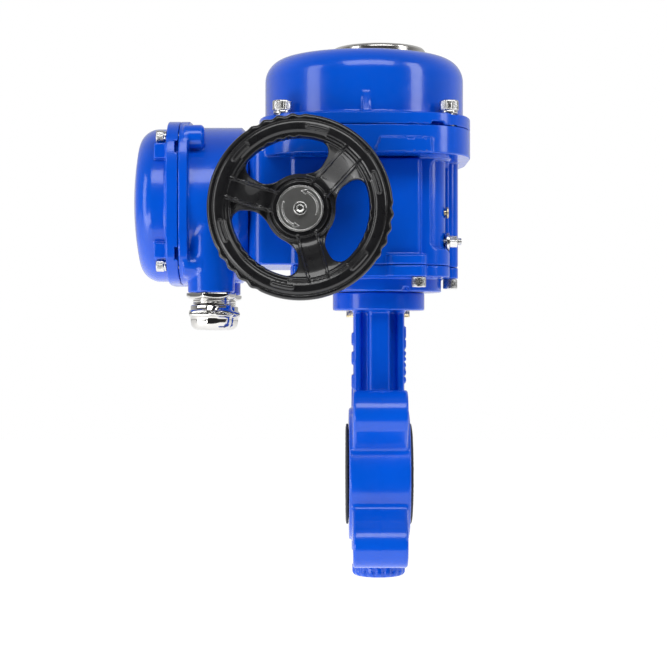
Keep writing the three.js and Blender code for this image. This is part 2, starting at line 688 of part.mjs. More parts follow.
function buildTerminalBox() {
  add('terminal_box', terminalBox(), paint);
  add('terminal_box_cover', boxCover(), paint);
  corners(BOX_SCREW, (y, z) => [y, z]).forEach(([y, z], i) => {
    const screw = add(`box_screw_${i + 1}`, capScrew(4.25, 7, 2.4, 18, 3.9), stainless);
    screw.rotation.y = -Math.PI / 2;
    screw.position.set(BOX_COVER_X - GAP, y, BOX_Z + z);
  });
  buildGland(-GLAND_Y, 1);
  buildGland(GLAND_Y, 2);
  const block = box(-106, -98.3, -30, 30, 178, 202);
  const slots = [];
  for (let i = 0; i < 6; i += 1) slots.push(box(-110, -101, -27.5 + 10 * i, -22.5 + 10 * i, 170, 210));
  add('terminal_block', cut(block, ...slots, alongX(rod(9, -110, -90, 8)).translate(0, 0, BOX_Z)), plastic);
}

// ---- outside fasteners of the housing ----
function buildHousing() {
  add('base_flange', baseFlange(), paint);
  add('gear_housing', gearHousing(), paint);
  add('switch_deck', switchDeck(), steel);
  add('limit_switches', limitSwitches(), plastic);
  BASE_SCREWS.forEach(([x, y], i) => {
    const screw = add(`base_screw_${i + 1}`, capScrew(5, 7, 2.9, 11, 5), stainless);
    screw.rotation.x = Math.PI;
    screw.position.set(x, y, PLATE_Z - GAP);
  });
  ['open', 'closed'].forEach((stop, i) => {
    const y = i ? STOP_Y : -STOP_Y;
    const wall = RECESS_X + GAP;
    const bolt = alongX(rod(2.5, 4.6, 56.6, 10)).translate(0, y, STOP_Z);
    const washer = alongX(tube(2.8, 6.2, wall, wall + 2, 14)).translate(0, y, STOP_Z);
    const hexNut = cut(hexagon(8, wall + 2 + GAP, wall + 7.5), rod(2.8, 40, 70, 12));
    add(`stop_bolt_${stop}`, bolt, stainless);
    add(`stop_washer_${stop}`, washer, stainless);
    add(`stop_nut_${stop}`, alongX(hexNut).translate(0, y, STOP_Z), stainless);
  });
  const earth = capScrew(4, 1.6, 2, 3.4, 4);
  const screw = add('earth_screw', earth, zinc);
  screw.rotation.y = Math.PI / 2;
  screw.position.set(RECESS_X + GAP, -STOP_Y, EARTH_Z);
}

buildValve();
buildHousing();
buildCover();
buildGearTrain();
buildHandwheel();
buildTerminalBox();

export default valve;
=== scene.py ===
"""Motorised butterfly valve: castings, fasteners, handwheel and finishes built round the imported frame.

Sizes inside this file are millimetres unless a name ends in _m. The pipe runs along X, the stem along Z and
the handwheel faces -Y. Castings are zero surfaces of distance fields, and turned parts are profiles carried
round an axis.
"""

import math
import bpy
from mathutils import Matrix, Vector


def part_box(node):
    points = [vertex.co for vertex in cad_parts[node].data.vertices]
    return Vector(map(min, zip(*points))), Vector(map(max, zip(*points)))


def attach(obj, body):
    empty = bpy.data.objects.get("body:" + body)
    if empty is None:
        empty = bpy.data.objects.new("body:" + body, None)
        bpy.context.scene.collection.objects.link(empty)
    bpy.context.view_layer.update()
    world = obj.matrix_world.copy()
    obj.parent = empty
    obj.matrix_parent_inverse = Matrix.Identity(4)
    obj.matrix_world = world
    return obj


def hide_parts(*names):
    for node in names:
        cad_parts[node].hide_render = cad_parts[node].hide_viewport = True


bl_info = {
    "name": "Motorised butterfly valve",
    "version": (1, 0, 0),
    "blender": (4, 5, 0),
    "location": "View3D > Sidebar > Valve",
    "description": "Builds the visible surfaces and finishes of a motorised butterfly valve",
    "category": "Object",
}

import bpy
import numpy as np
from bpy.props import FloatProperty, FloatVectorProperty, PointerProperty
from mathutils import Vector

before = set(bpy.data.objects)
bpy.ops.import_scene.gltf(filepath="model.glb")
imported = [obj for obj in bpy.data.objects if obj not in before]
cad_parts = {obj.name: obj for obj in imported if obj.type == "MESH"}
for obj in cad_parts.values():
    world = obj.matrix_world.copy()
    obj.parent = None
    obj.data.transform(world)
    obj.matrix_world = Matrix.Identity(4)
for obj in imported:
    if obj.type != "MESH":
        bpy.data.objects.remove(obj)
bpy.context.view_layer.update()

MM = 0.001
TAU = 2 * math.pi
GRID_STEP = 1.1       # cell size of the fine castings
COARSE_STEP = 1.35    # cell size of the largest castings
SEAT_STEP = 1.0
WHEEL_STEP = 0.82
PLATE_STEP = 0.32                       # cell size of the hub plate
DIAL_STEP = 0.5


def span(node):
    """The lowest and highest corners of a CAD node, in millimetres."""
    lo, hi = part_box(node)
    return np.array(lo) / MM, np.array(hi) / MM


def centre(node):
    """The middle of a CAD node's box, in millimetres."""
    lo, hi = span(node)
    return (lo + hi) / 2


# ---------------------------------------------------------------- places that several pieces share
HOUSING_LO, HOUSING_HI = span("gear_housing")
COVER_LO, COVER_HI = span("top_cover")
TBOX_LO, TBOX_HI = span("terminal_box")
LID_LO, LID_HI = span("terminal_box_cover")
BODY_X = (COVER_LO[0] + COVER_HI[0]) / 2
FLANGE_HALF = (COVER_HI[0] - COVER_LO[0]) / 2
FLANGE_POWER = 3.5
WORM_X, _, WORM_Z = centre("handwheel")
BOX_Z = centre("terminal_box_cover")[2]
BOX_HALF = (LID_HI[1] - LID_LO[1]) / 2
BOX_POWER = 4.0
GLAND_X = centre("gland_nut_1")[0]
GLAND_Y = centre("gland_nut_2")[1]
PLATE_BOTTOM = 138.2
HOUSING_BOTTOM = HOUSING_LO[2]
FLANGE_BOTTOM = 220.2
STOP_Z = centre("stop_nut_open")[2]
STOP_Y = centre("stop_nut_closed")[1]
BASE_SCREWS = [tuple(centre(f"base_screw_{i}")[:2]) for i in range(1, 6)]
COVER_SCREWS = [tuple(centre(f"cover_screw_{i}")[:2]) for i in range(1, 5)]
LUG_OFFSET = 44.2            # lug holes from the pipe axis, along Y and along Z
BOLT_OFFSET = 17.7           # flange bolts from the stem axis, along X and along Y
BOX_SCREW_OFFSET = 44.0      # box screws from the box's axis, along Y and along Z
FOUR_SIGNS = [(1, 1), (-1, 1), (-1, -1), (1, -1)]


# ---------------------------------------------------------------- distance fields
def outside(*gaps):
    """Joins gaps along different directions: their straight-line length outside, the largest one inside."""
    gaps = np.broadcast_arrays(*gaps)
    away = np.sqrt(sum(np.maximum(gap, 0.0) ** 2 for gap in gaps))
    return away + np.minimum(np.maximum.reduce(gaps), 0.0)


def between(w, lo, hi):
    """How far w lies outside the span from lo to hi, negative inside it."""
    return np.abs(w - (lo + hi) / 2) - (hi - lo) / 2


def thick(outline, w, lo, hi, edge=0.8):
    """An outline's distance carried from lo to hi along w, with its rims rounded by edge."""
    return outside(outline + edge, between(w, lo, hi) + edge) - edge


def disc(u, v, radius):
    """Distance to a circle: the length of (u, v) less the radius."""
    return np.hypot(u, v) - radius


def rectangle(u, v, u0, u1, v0, v1, corner=1.0):
    """Distance to a rectangle with round corners."""
    return outside(between(u, u0, u1) + corner, between(v, v0, v1) + corner) - corner


def squircle(u, v, half, power):
    """The rounded square |u|^n + |v|^n = half^n, as its n-norm less half."""
    return (np.abs(u) ** power + np.abs(v) ** power) ** (1 / power) - half


def blend(k, *fields):
    """Joins solids with a fillet of about k: the smaller field, less (k - difference)^2 / 4k near the joint."""
    whole = fields[0]
    for field in fields[1:]:
        near = np.maximum(k - np.abs(whole - field), 0.0)
        whole = np.minimum(whole, field) - near * near / (4 * k)
    return whole


def carve(k, whole, *tools):
    """Cuts solids away, with the cut's rim rounded by about k."""
    return -blend(k, -whole, *tools)


def corners_of_cell():
    """The eight corners of a grid cell, as offsets, and its twelve edges, as pairs of corners."""
    places = np.array([(i, j, k) for i in (0, 1) for j in (0, 1) for k in (0, 1)])
    pairs = [(a, b) for a in range(8) for b in range(a + 1, 8) if abs(places[a] - places[b]).sum() == 1]
    return places, pairs


def slope_of(field, points, h):
    """The field's gradient: half the difference between values h to either side, over h, along each axis."""
    return np.stack([(field(*(points + s).T) - field(*(points - s).T)) / (2 * h) for s in np.eye(3) * h], 1)


def onto_surface(field, points, reach):
    """Moves points down the field's gradient g to its zero: p - f g / |g|^2, three times, never past reach."""
    for _ in range(3):
        value = field(*points.T)
        gradient = slope_of(field, points, 0.02)
        size = np.maximum((gradient ** 2).sum(1), 0.05)
        move = gradient * (value / size)[:, None]
        length = np.maximum(np.linalg.norm(move, axis=1), 1e-9)
        points = points - move * np.minimum(1.0, reach / length)[:, None]
    return points


def zero_surface(field, lo, hi, step):
    """The surface where a field is zero, as points and quads.

    Each grid cell that the surface crosses gets one point, the mean of the crossings on its edges, moved onto the
    surface. Each grid edge that it crosses gets one quad, of the four cells round that edge.
    """
    axes = [np.arange(a - 1.5 * step, b + 2.5 * step, step) for a, b in zip(lo, hi)]
    grid = np.meshgrid(*axes, indexing="ij", sparse=True)
    value = np.ascontiguousarray(np.broadcast_to(field(*grid), [len(a) for a in axes]))
    solid = value < 0
    places, pairs = corners_of_cell()
    size = np.array(solid.shape) - 1
    filled = sum(solid[i:size[0] + i, j:size[1] + j, k:size[2] + k].astype(np.int8) for i, j, k in places)
    active = (filled > 0) & (filled < 8)
    cells = np.argwhere(active)
    number = np.full(active.shape, -1)
    number[active] = np.arange(len(cells))
    at_corner = np.stack([value[tuple((cells + place).T)] for place in places], 1)
    total = np.zeros((len(cells), 3))
    hits = np.zeros(len(cells))
    for a, b in pairs:
        crossed = (at_corner[:, a] < 0) != (at_corner[:, b] < 0)
        fall = np.where(crossed, at_corner[:, a] - at_corner[:, b], 1.0)
        part = np.where(crossed, at_corner[:, a] / fall, 0.0)
        total += crossed[:, None] * (places[a] + part[:, None] * (places[b] - places[a]))
        hits += crossed
    origin = np.array([axis[0] for axis in axes])
    points = origin + step * (cells + total / hits[:, None])
    quads = []
    for axis in range(3):
        u, v = np.eye(3, dtype=int)[(axis + 1) % 3], np.eye(3, dtype=int)[(axis + 2) % 3]
        lower = np.take(solid, range(size[axis]), axis)
        upper = np.take(solid, range(1, size[axis] + 1), axis)
        edge = np.argwhere(lower != upper)
        ring = [number[tuple((edge - shift).T)] for shift in (0 * u, u, u + v, v)]
        ring = np.stack(ring, 1)
        outward = lower[tuple(edge.T)]
        quads.append(np.where(outward[:, None], ring, ring[:, ::-1]))
    return onto_surface(field, points, 0.8 * step), np.concatenate(quads)


# ---------------------------------------------------------------- turned and lofted surfaces
def fillet(points, radius, steps=4):
    """A profile with each inner corner replaced by an arc of the given radius, and a holding point beside it.

    The arc is the quadratic curve from one tangent point to the other with the corner as its handle.
    """
    points = np.asarray(points, float)
    radii = np.broadcast_to(radius, len(points))
    out = [points[0]]
    for before, here, after, r in zip(points[:-2], points[1:-1], points[2:], radii[1:-1]):
        one, two = before - here, after - here
        long_one, long_two = np.linalg.norm(one), np.linalg.norm(two)
        reach = min(r, 0.48 * long_one, 0.48 * long_two)
        if reach <= 0.01:
            out.append(here)
            continue
        one, two = one / long_one, two / long_two
        t = np.linspace(0, 1, steps + 1)[:, None]
        arc = (1 - t) ** 2 * (here + one * reach) + 2 * t * (1 - t) * here + t ** 2 * (here + two * reach)
        hold = min(0.15 * reach + 0.03, 0.02 * min(long_one, long_two))
        out += [here + one * (reach + hold), *arc, here + two * (reach + hold)]
    out.append(points[-1])
    return np.array(out)


def skin(rings, closed=False):
    """Quads between neighbouring rings of points, and a fan on each end ring unless the rings close up."""
    rings = np.asarray(rings, float)
    count, around = rings.shape[:2]
    index = np.arange(count * around).reshape(count, around)
    last = index if closed else index[:-1]
    after = np.roll(index, -1, 0) if closed else index[1:]
    quads = np.stack([last, np.roll(last, -1, 1), np.roll(after, -1, 1), after], -1).reshape(-1, 4)
    points = rings.reshape(-1, 3)
    if closed:
        return points, quads, np.zeros((0, 3), int)
    points = np.concatenate([points, rings[:1].mean(1), rings[-1:].mean(1)])
    low, high = len(points) - 2, len(points) - 1
    first, final = index[0], index[-1]
    fan_low = np.stack([np.full(around, low), np.roll(first, -1), first], 1)
    fan_high = np.stack([np.full(around, high), final, np.roll(final, -1)], 1)
    return points, quads, np.concatenate([fan_low, fan_high])


def stack(levels, steps=64):
    """Rings about Z, from the bottom up the outside: each level is (radius or radii round the ring, height)."""
    angle = np.arange(steps) * TAU / steps
    rings = [
        np.stack([radius * np.cos(angle), radius * np.sin(angle), np.full(steps, float(height))], 1)
        for radius, height in levels
    ]
    return np.array(rings)


def turned(profile, steps=64):
    """A profile of (radius, height) points turned about Z, closed on itself or fanned to the axis."""
    profile = np.asarray(profile, float)
    closed = np.allclose(profile[0], profile[-1]) and profile[0][0] > 0
    profile = profile[:-1] if closed else profile[profile[:, 0] > 1e-6]
    return skin(stack(profile, steps), closed)


def polygon_radii(sides, flats, steps):
    """Radii that make a regular polygon: half the width over its flats, over cos(angle from a flat)."""
    angle = np.arange(steps) * TAU / steps
    sector = TAU / sides
    return flats / 2 / np.cos((angle + sector / 2) % sector - sector / 2)


def aimed(surface, axis, place):
    """A surface built about +Z, turned so that Z points along axis, and moved to place."""
    turn = Vector((0, 0, 1)).rotation_difference(Vector(axis)).to_matrix()
    return surface[0] @ np.array(turn).T + np.asarray(place, float), *surface[1:]


def spun(surface, angle, place):
    """A surface turned about Z by an angle in degrees, and moved to place."""
    c, s = math.cos(math.radians(angle)), math.sin(math.radians(angle))
    return surface[0] @ np.array([(c, s, 0), (-s, c, 0), (0, 0, 1)]) + place, *surface[1:]


def thread_wave(heights, pitch, steps):
    """A thread's rings: a triangle wave between 0 and 1 of (height / pitch - angle / turn)."""
    return np.abs(((np.asarray(heights)[:, None] / pitch - np.arange(steps) / steps) % 1) * 2 - 1)


def build(name, surface, key, replaces=(), body="root", normals=None):
    """Makes a surface (points, quads, triangles), in millimetres, into a finished piece of the frame."""
    points, quads, *rest = surface
    triangles = rest[0] if rest else np.zeros((0, 3), int)
    mesh = bpy.data.meshes.new(name)
    mesh.vertices.add(len(points))
    mesh.vertices.foreach_set("co", (np.asarray(points) * MM).astype(np.float32).ravel())
    loops = np.concatenate([quads.ravel(), triangles.ravel()]).astype(np.int32)
    sizes = np.concatenate([np.full(len(quads), 4), np.full(len(triangles), 3)])
    starts = np.concatenate([[0], np.cumsum(sizes)[:-1]]).astype(np.int32)
    mesh.loops.add(len(loops))
    mesh.loops.foreach_set("vertex_index", loops)
    mesh.polygons.add(len(sizes))
    mesh.polygons.foreach_set("loop_start", starts)
    mesh.polygons.foreach_set("use_smooth", np.ones(len(sizes), bool))
    mesh.update(calc_edges=True)
    if mesh.validate():
        raise RuntimeError(f"{name} has faces that don't hold together")
    if normals is not None:
        mesh.normals_split_custom_set_from_vertices(normals)
    piece = bpy.data.objects.new(name, mesh)
    bpy.context.collection.objects.link(piece)
    mesh.materials.append(finish(key))
    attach(piece, body)
    if replaces:
        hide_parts(*replaces)


def cast(name, field, node_name, step, key, body="root"):
    """A casting in a CAD node's place: the zero surface of a field, shaded by the field's own gradient."""
    points, quads = zero_surface(field, *span(node_name), step)
    normals = slope_of(field, points, 0.15)
    normals /= np.maximum(np.linalg.norm(normals, axis=1), 1e-6)[:, None]
    build(name, (points, quads), key, [node_name], body, normals)


def merged(*surfaces):
    """Several surfaces as one, with their point numbers shifted."""
    points, quads, triangles, shift = [], [], [], 0
    for surface in surfaces:
        points.append(surface[0])
        quads.append(surface[1] + shift)
        triangles.append((surface[2] if len(surface) > 2 else np.zeros((0, 3), int)) + shift)
        shift += len(surface[0])
    return np.concatenate(points), np.concatenate(quads), np.concatenate(triangles)


# ---------------------------------------------------------------- finishes
def node(tree, kind, **inputs):
    """Adds a shader node and sets the inputs that are given by name."""
    made = tree.nodes.new(kind)
    for key, value in inputs.items():
        made.inputs[key.replace("_", " ")].default_value = value
    return made


def new_material(name):
    """An empty node material with a principled shader, returned with its tree and that shader."""
    material = bpy.data.materials.new(name)
    material.use_nodes = True
    tree = material.node_tree
    shader = tree.nodes["Principled BSDF"]
    return material, tree, shader


def place_vector(tree, scale=(1.0, 1.0, 1.0)):
    """Object coordinates, stretched by scale."""
    where = tree.nodes.new("ShaderNodeTexCoord")
    mapping = tree.nodes.new("ShaderNodeMapping")
    mapping.inputs["Scale"].default_value = scale
    tree.links.new(where.outputs["Object"], mapping.inputs["Vector"])
    return mapping.outputs["Vector"]


def noise(tree, vector, scale, detail=3.0, roughness=0.5):
    """A noise texture's value on the given vector."""
    made = node(tree, "ShaderNodeTexNoise", Scale=scale, Detail=detail, Roughness=roughness)
    tree.links.new(vector, made.inputs["Vector"])
    return made.outputs["Fac"]


def spread(tree, value, low, high, start=0.3, stop=0.7):
    """Stretches a value from the range start to stop onto low to high."""
    made = tree.nodes.new("ShaderNodeMapRange")
    for key, number in (("From Min", start), ("From Max", stop), ("To Min", low), ("To Max", high)):
        made.inputs[key].default_value = number
    tree.links.new(value, made.inputs["Value"])
    return made.outputs["Result"]


def mix(tree, factor, one, two):
    """A colour between one and two."""
    made = tree.nodes.new("ShaderNodeMix")
    made.data_type = "RGBA"
    made.inputs["A"].default_value = (*one, 1)
    made.inputs["B"].default_value = (*two, 1)
    tree.links.new(factor, made.inputs["Factor"])
    return made.outputs["Result"]


def bump(tree, shader, layers):
    """Chains bumps, each (height value, strength, depth in metres), into the shader's normal."""
    normal = None
    for height, strength, depth in layers:
        made = node(tree, "ShaderNodeBump", Strength=strength, Distance=depth)
        tree.links.new(height, made.inputs["Height"])
        if normal:
            tree.links.new(normal, made.inputs["Normal"])
        normal = made.outputs["Normal"]
    tree.links.new(normal, shader.inputs["Normal"])


def shade(colour, factor):
    """A colour made darker or lighter by a factor."""
    return tuple(min(1.0, part * factor) for part in colour)


def edge_wear(tree, low=0.53, high=0.64):
    """A mask of the sharpest outer edges, from the surface's pointiness."""
    geometry = tree.nodes.new("ShaderNodeNewGeometry")
    return spread(tree, geometry.outputs["Pointiness"], 0.0, 1.0, low, high)


def paint_finish(name, colour, roughness, peel=0.35, cast_height=0.5, coat=0.5):
    """Gloss paint over a casting: orange peel, slow waves of the cast skin, and paint drawn thin on the edges."""
    material, tree, shader = new_material(name)
    vector = place_vector(tree)
    cloud = noise(tree, vector, 22.0, 4.0)
    base = mix(tree, spread(tree, cloud, 0.0, 1.0), shade(colour, 0.93), shade(colour, 1.05))
    thin = tree.nodes.new("ShaderNodeMix")
    thin.data_type = "RGBA"
    thin.inputs["B"].default_value = (*[min(1.0, part * 1.25 + 0.006) for part in colour], 1)
    tree.links.new(edge_wear(tree), thin.inputs["Factor"])
    tree.links.new(base, thin.inputs["A"])
    tree.links.new(thin.outputs["Result"], shader.inputs["Base Color"])
    grain = noise(tree, vector, 180.0, 3.0)
    tree.links.new(spread(tree, grain, roughness * 0.85, roughness * 1.2), shader.inputs["Roughness"])
    shader.inputs["Specular IOR Level"].default_value = 0.35
    shader.inputs["Coat Weight"].default_value = coat
    shader.inputs["Coat Roughness"].default_value = 0.03
    fine = noise(tree, vector, 420.0, 2.0)
    slow = noise(tree, vector, 60.0, 2.0)
    bump(tree, shader, [(slow, cast_height, 0.00035), (fine, peel, 0.00008)])
    return material


def metal_finish(name, colour, roughness, streak=(1.0, 1.0, 1.0), scratch=0.15, stain=0.12, grain=0.25):
    """Bare metal: streaked roughness from machining, a faint stain, and fine scratches."""
    material, tree, shader = new_material(name)
    vector = place_vector(tree)
    cloud = noise(tree, vector, 130.0, 4.0, 0.6)
    base = mix(tree, spread(tree, cloud, 0.0, 1.0), shade(colour, 1 - stain), shade(colour, 1.04))
    tree.links.new(base, shader.inputs["Base Color"])
    shader.inputs["Metallic"].default_value = 1.0
    lines = noise(tree, place_vector(tree, streak), 900.0, 2.0)
    level = spread(tree, lines, roughness * (1 - grain), roughness * (1 + grain))
    tree.links.new(level, shader.inputs["Roughness"])
    bump(tree, shader, [(lines, scratch, 0.00001)])
    return material


def rubber_finish(name, colour):
    """Moulded rubber: matt, with a faint bloom and a fine grain."""
    material, tree, shader = new_material(name)
    vector = place_vector(tree)
    cloud = noise(tree, vector, 70.0, 3.0)
    base = mix(tree, spread(tree, cloud, 0.0, 1.0), colour, shade(colour, 1.9))
    tree.links.new(base, shader.inputs["Base Color"])
    tree.links.new(spread(tree, cloud, 0.48, 0.66), shader.inputs["Roughness"])
    bump(tree, shader, [(noise(tree, vector, 1100.0, 2.0), 0.25, 0.00006)])
    return material


def plastic_finish(name, colour, roughness):
    """Moulded plastic with a fine spark-eroded grain."""
    material, tree, shader = new_material(name)
    vector = place_vector(tree)
    cloud = noise(tree, vector, 40.0, 2.0)
    base = mix(tree, spread(tree, cloud, 0.0, 1.0), shade(colour, 0.92), shade(colour, 1.06))
    tree.links.new(base, shader.inputs["Base Color"])
    tree.links.new(spread(tree, cloud, roughness * 0.9, roughness * 1.1), shader.inputs["Roughness"])
    bump(tree, shader, [(noise(tree, vector, 1500.0, 2.0), 0.2, 0.00004)])
    return material


def glass_finish(name):
    """A clear window, lightly smudged."""
    material, tree, shader = new_material(name)
    vector = place_vector(tree)
    smudge = noise(tree, vector, 60.0, 3.0)
    base = mix(tree, spread(tree, smudge, 0.0, 1.0), (0.9, 0.95, 0.96), (0.97, 0.99, 0.99))
    tree.links.new(base, shader.inputs["Base Color"])
    tree.links.new(spread(tree, smudge, 0.02, 0.07), shader.inputs["Roughness"])
    shader.inputs["Transmission Weight"].default_value = 1.0
    shader.inputs["IOR"].default_value = 1.45
    return material


def pointer_finish(name, bar, plate):
    """Two paints on the dial: the bar's colour above the plate's face, and the plate's below it."""
    material, tree, shader = new_material(name)
    split = tree.nodes.new("ShaderNodeSeparateXYZ")
    tree.links.new(place_vector(tree), split.inputs["Vector"])
    high = spread(tree, split.outputs["Z"], 0.0, 1.0, 0.2928, 0.2930)
    cloud = noise(tree, place_vector(tree), 90.0, 3.0)
    base = mix(tree, high, plate, bar)
    tree.links.new(base, shader.inputs["Base Color"])
    tree.links.new(spread(tree, cloud, 0.3, 0.45), shader.inputs["Roughness"])
    bump(tree, shader, [(noise(tree, place_vector(tree), 900.0, 2.0), 0.15, 0.00005)])
    return material


def finish(key):
    """The material of a finish, made on its first use."""
    name = key + "_finish"
    if name in bpy.data.materials:
        return bpy.data.materials[name]
    colours = bpy.context.scene.valve_colours
    makers = {
        "blue_paint": lambda: paint_finish(name, colours.paint, 0.2, 0.3, 0.4, 0.24),
        "handwheel_enamel": lambda: paint_finish(name, colours.enamel, 0.3, 0.2, 0.2, 0.5),
        "stainless": lambda: metal_finish(name, colours.stainless, 0.24),
        "medallion_steel": lambda: metal_finish(
            name, shade(colours.stainless, 0.75), 0.3, (1, 1, 1), 0.03, 0.1, 0.06),
        "nickel": lambda: metal_finish(name, colours.nickel, 0.08, (1, 1, 1), 0.05, 0.03),
        "bezel_steel": lambda: metal_finish(name, colours.nickel, 0.2, (1, 1, 20), 0.2, 0.08),
        "yellow_zinc": lambda: metal_finish(name, colours.zinc, 0.28, (1, 1, 1), 0.15, 0.2),
        "machined_steel": lambda: metal_finish(name, (0.42, 0.43, 0.44), 0.32, (1, 1, 12), 0.3, 0.15),
        "bronze": lambda: metal_finish(name, (0.62, 0.4, 0.18), 0.3, (1, 1, 8), 0.3, 0.25),
        "seat_rubber": lambda: rubber_finish(name, (0.012, 0.012, 0.013)),
        "black_plastic": lambda: plastic_finish(name, (0.02, 0.02, 0.022), 0.5),
        "clear_window": lambda: glass_finish(name),
        "disc_steel": lambda: metal_finish(name, colours.stainless, 0.35, (1, 1, 1), 0.4, 0.2),
        "pointer_paint": lambda: pointer_finish(name, (0.86, 0.6, 0.03), (0.02, 0.02, 0.022)),
        "scale_white": lambda: plastic_finish(name, (0.8, 0.8, 0.78), 0.4),
        "cream_plastic": lambda: plastic_finish(name, (0.7, 0.64, 0.5), 0.5),
        "zinc_sheet": lambda: metal_finish(name, (0.62, 0.62, 0.6), 0.35, (1, 1, 1), 0.2, 0.25),
    }
    return makers[key]()


# ---------------------------------------------------------------- the valve
def lug_outline(y, z, side_y, side_z):
    """Distance to a bar of half width 16.5 from the ring's middle out to a lug hole."""
    along = (y * side_y + z * side_z) / math.sqrt(2)
    across = (y * side_z - z * side_y) / math.sqrt(2)
    reach = LUG_OFFSET * math.sqrt(2)
    return np.hypot(along - np.clip(along, 0, reach), across) - 16.5


def parting_seam(away, height=0.22, width=0.7):
    """How far a mould's parting line stands out: height times exp(-(distance to its plane / width)^2)."""
    return height * np.exp(-(away / width) ** 2)


def neck_pads(x, y, z):
    """Raised pads down both sides of the neck: round-cornered boxes, three on the left and seven on the right."""
    left = [(91, 100), (77.4, 86.6), (60.4, 70.3)]
    right = [(96, 104.4), (88.4, 95.4), (83.9, 87.2), (79.9, 83.1), (75, 78.6), (69.6, 74.5), (64.3, 68.9)]
    pads = []
    for rows, near, far, half in ((left, -19.1, -15, 9), (right, 15, 19.1, 8)):
        for low, high in rows:
            sides = between(y, -half, half) + 1, between(z, low, high) + 1
            pads.append(outside(between(x, near, far) + 0.8, *sides) - 1)
    return np.minimum.reduce(np.broadcast_arrays(*pads))


def valve_body_shape(x, y, z):
    """The valve body: a ring, four lug bars, a cross-shaped neck, the top flange and the lower column, blended with
    cast fillets, less the bore, the stem bore and the threaded holes."""
    ring = thick(disc(y, z, 46.5), x, -21.2, 21.2, 1.4)
    lugs = [thick(lug_outline(y, z, *sign), x, -18.75, 18.75, 1.8) for sign in FOUR_SIGNS]
    rib = thick(rectangle(x, y, -7.1, 7.1, -22, 22, 2.2), z, 30, 117)
    wing = thick(rectangle(x, y, -17.4, 17.4, -8, 8, 1.5), z, 30, 117)
    rim = thick(rectangle(np.abs(x), y, 12.4, 17.4, -11.5, 11.5, 1.6), z, 30, 117)
    neck = blend(0.6, blend(2.6, rib, wing, rim), neck_pads(x, y, z))
    flange = thick(disc(x, y, 32.5), z, 115.6, 128.1, 0.9)
    column = thick(disc(x, y, 18), z, -63.7, -36, 0.9)
    whole = blend(3.2, ring, *lugs, neck, column, flange)
    outer = np.maximum(0, np.minimum(1, (np.hypot(y, z) - 34) / 3))
    whole = whole - parting_seam(x) * outer * (z < 110)
    bores = [disc(y, z, 31.3), disc(x, y, 9.5)]
    bores += [disc(y - LUG_OFFSET * sy, z - LUG_OFFSET * sz, 7.0) for sy, sz in FOUR_SIGNS]
    bores += [outside(disc(x - BOLT_OFFSET * sx, y - BOLT_OFFSET * sy, 3.4), 108 - z) for sx, sy in FOUR_SIGNS]
    return carve(0.7, whole, *np.broadcast_arrays(*bores))


def thread_sleeve(radius, depth, pitch, low, high, wall, steps=48, per_pitch=6):
    """An inside thread, its radius less depth times the thread's wave, closed by an outer wall."""
    heights = np.arange(low, high, pitch / per_pitch)
    inner = radius - depth * thread_wave(heights, pitch, steps)
    levels = [*zip(inner, heights), (wall, heights[-1]), (wall, low)]
    return skin(stack(levels, steps)[::-1], closed=True)


def seat_shape(x, y, z):
    """The rubber seat: a spool round the bore with a lip and sealing beads on each face, pierced for the stem."""
    r = np.hypot(y, z)
    web = outside(np.abs(r - 28.45) - 2.45 + 0.5, np.abs(x) - 23.1 + 0.5) - 0.5
    lip = outside(np.abs(r - 30.75) - 4.75 + 0.6, np.abs(np.abs(x) - 22.3) - 0.8 + 0.6) - 0.6
    beads = [np.hypot(r - bead, np.abs(x) - 23.0) - 0.5 for bead in (28.2, 30.6, 33.0)]
    whole = blend(0.5, np.minimum(web, lip), *beads)
    return carve(0.4, whole, *np.broadcast_arrays(disc(x, y, 7.3), r * 0 + z * 0 + 99))


def disc_shape(x, y, z):
    """The closing disc: a lens of half thickness 1.7 + 1.9 cos(quarter turn of r / 25.7), blended into a hub."""
    r = np.hypot(y, z)
    half = 1.7 + 1.9 * np.cos(np.minimum(r / 25.7, 1) * math.pi / 2)
    lens = outside(r - 25.7 + 1.2, (np.abs(x) - half) + 1.2) - 1.2
    hub = thick(disc(x, y, 9.5), z, -23.4, 23.4, 1.0)
    return carve(0.4, blend(5, lens, hub), *np.broadcast_arrays(disc(x, y, 7.3), z * 0 + 99))


def cap_surface():
    """The lower cap: rings of radius 18.9 less a flute depth, |cos(9 angle)|^6, that fades at both ends."""
    steps = 216
    low = span("bottom_cap")[0][2]
    flute = 1.1 * np.abs(np.cos(9 * np.arange(steps) * TAU / steps)) ** 6
    levels = [(r, low + h) for r, h in ((6, 0), (14, 0), (15.8, 0.05), (16.8, 0.3))]
    levels += [(r - share * flute, h) for r, h, share in (
        (17.5, low + 0.7, 0.3), (18.1, low + 1.3, 0.8), (18.6, low + 2, 1), (18.85, low + 2.8, 1), (18.9, -68, 1),
        (18.9, -65.4, 1), (18.9, -65.2, 0.4), (18.85, -64.6, 0.1), (18.6, -64.15, 0), (18.2, -64, 0),
    )]
    levels += [(14, -64), (9.3, -64), (9.2, -63.9), (9.2, -59.3), (8.9, -59), (4, -59)]
    return skin(stack(levels, steps))


def hexagon_levels(flats, low, high, chamfer_low, chamfer_high, steps):
    """Rings up a hexagon's sides. At a chamfered end each ring is the lesser of the hexagon and a cone."""
    radii = polygon_radii(6, flats, steps)
    radii = radii - 0.12 * (radii > flats * 0.56)
    rise = np.linspace(0, 0.09 * flats, 5)
    cone = [np.minimum(radii, flats * 0.49 + 1.73 * h) for h in rise]
    below = list(zip(cone, low + rise)) if chamfer_low else [(radii - 0.1, low), (radii, low + 0.1)]
    above = list(zip(cone, high - rise))[::-1] if chamfer_high else [(radii, high - 0.1), (radii - 0.1, high)]
    return below + above


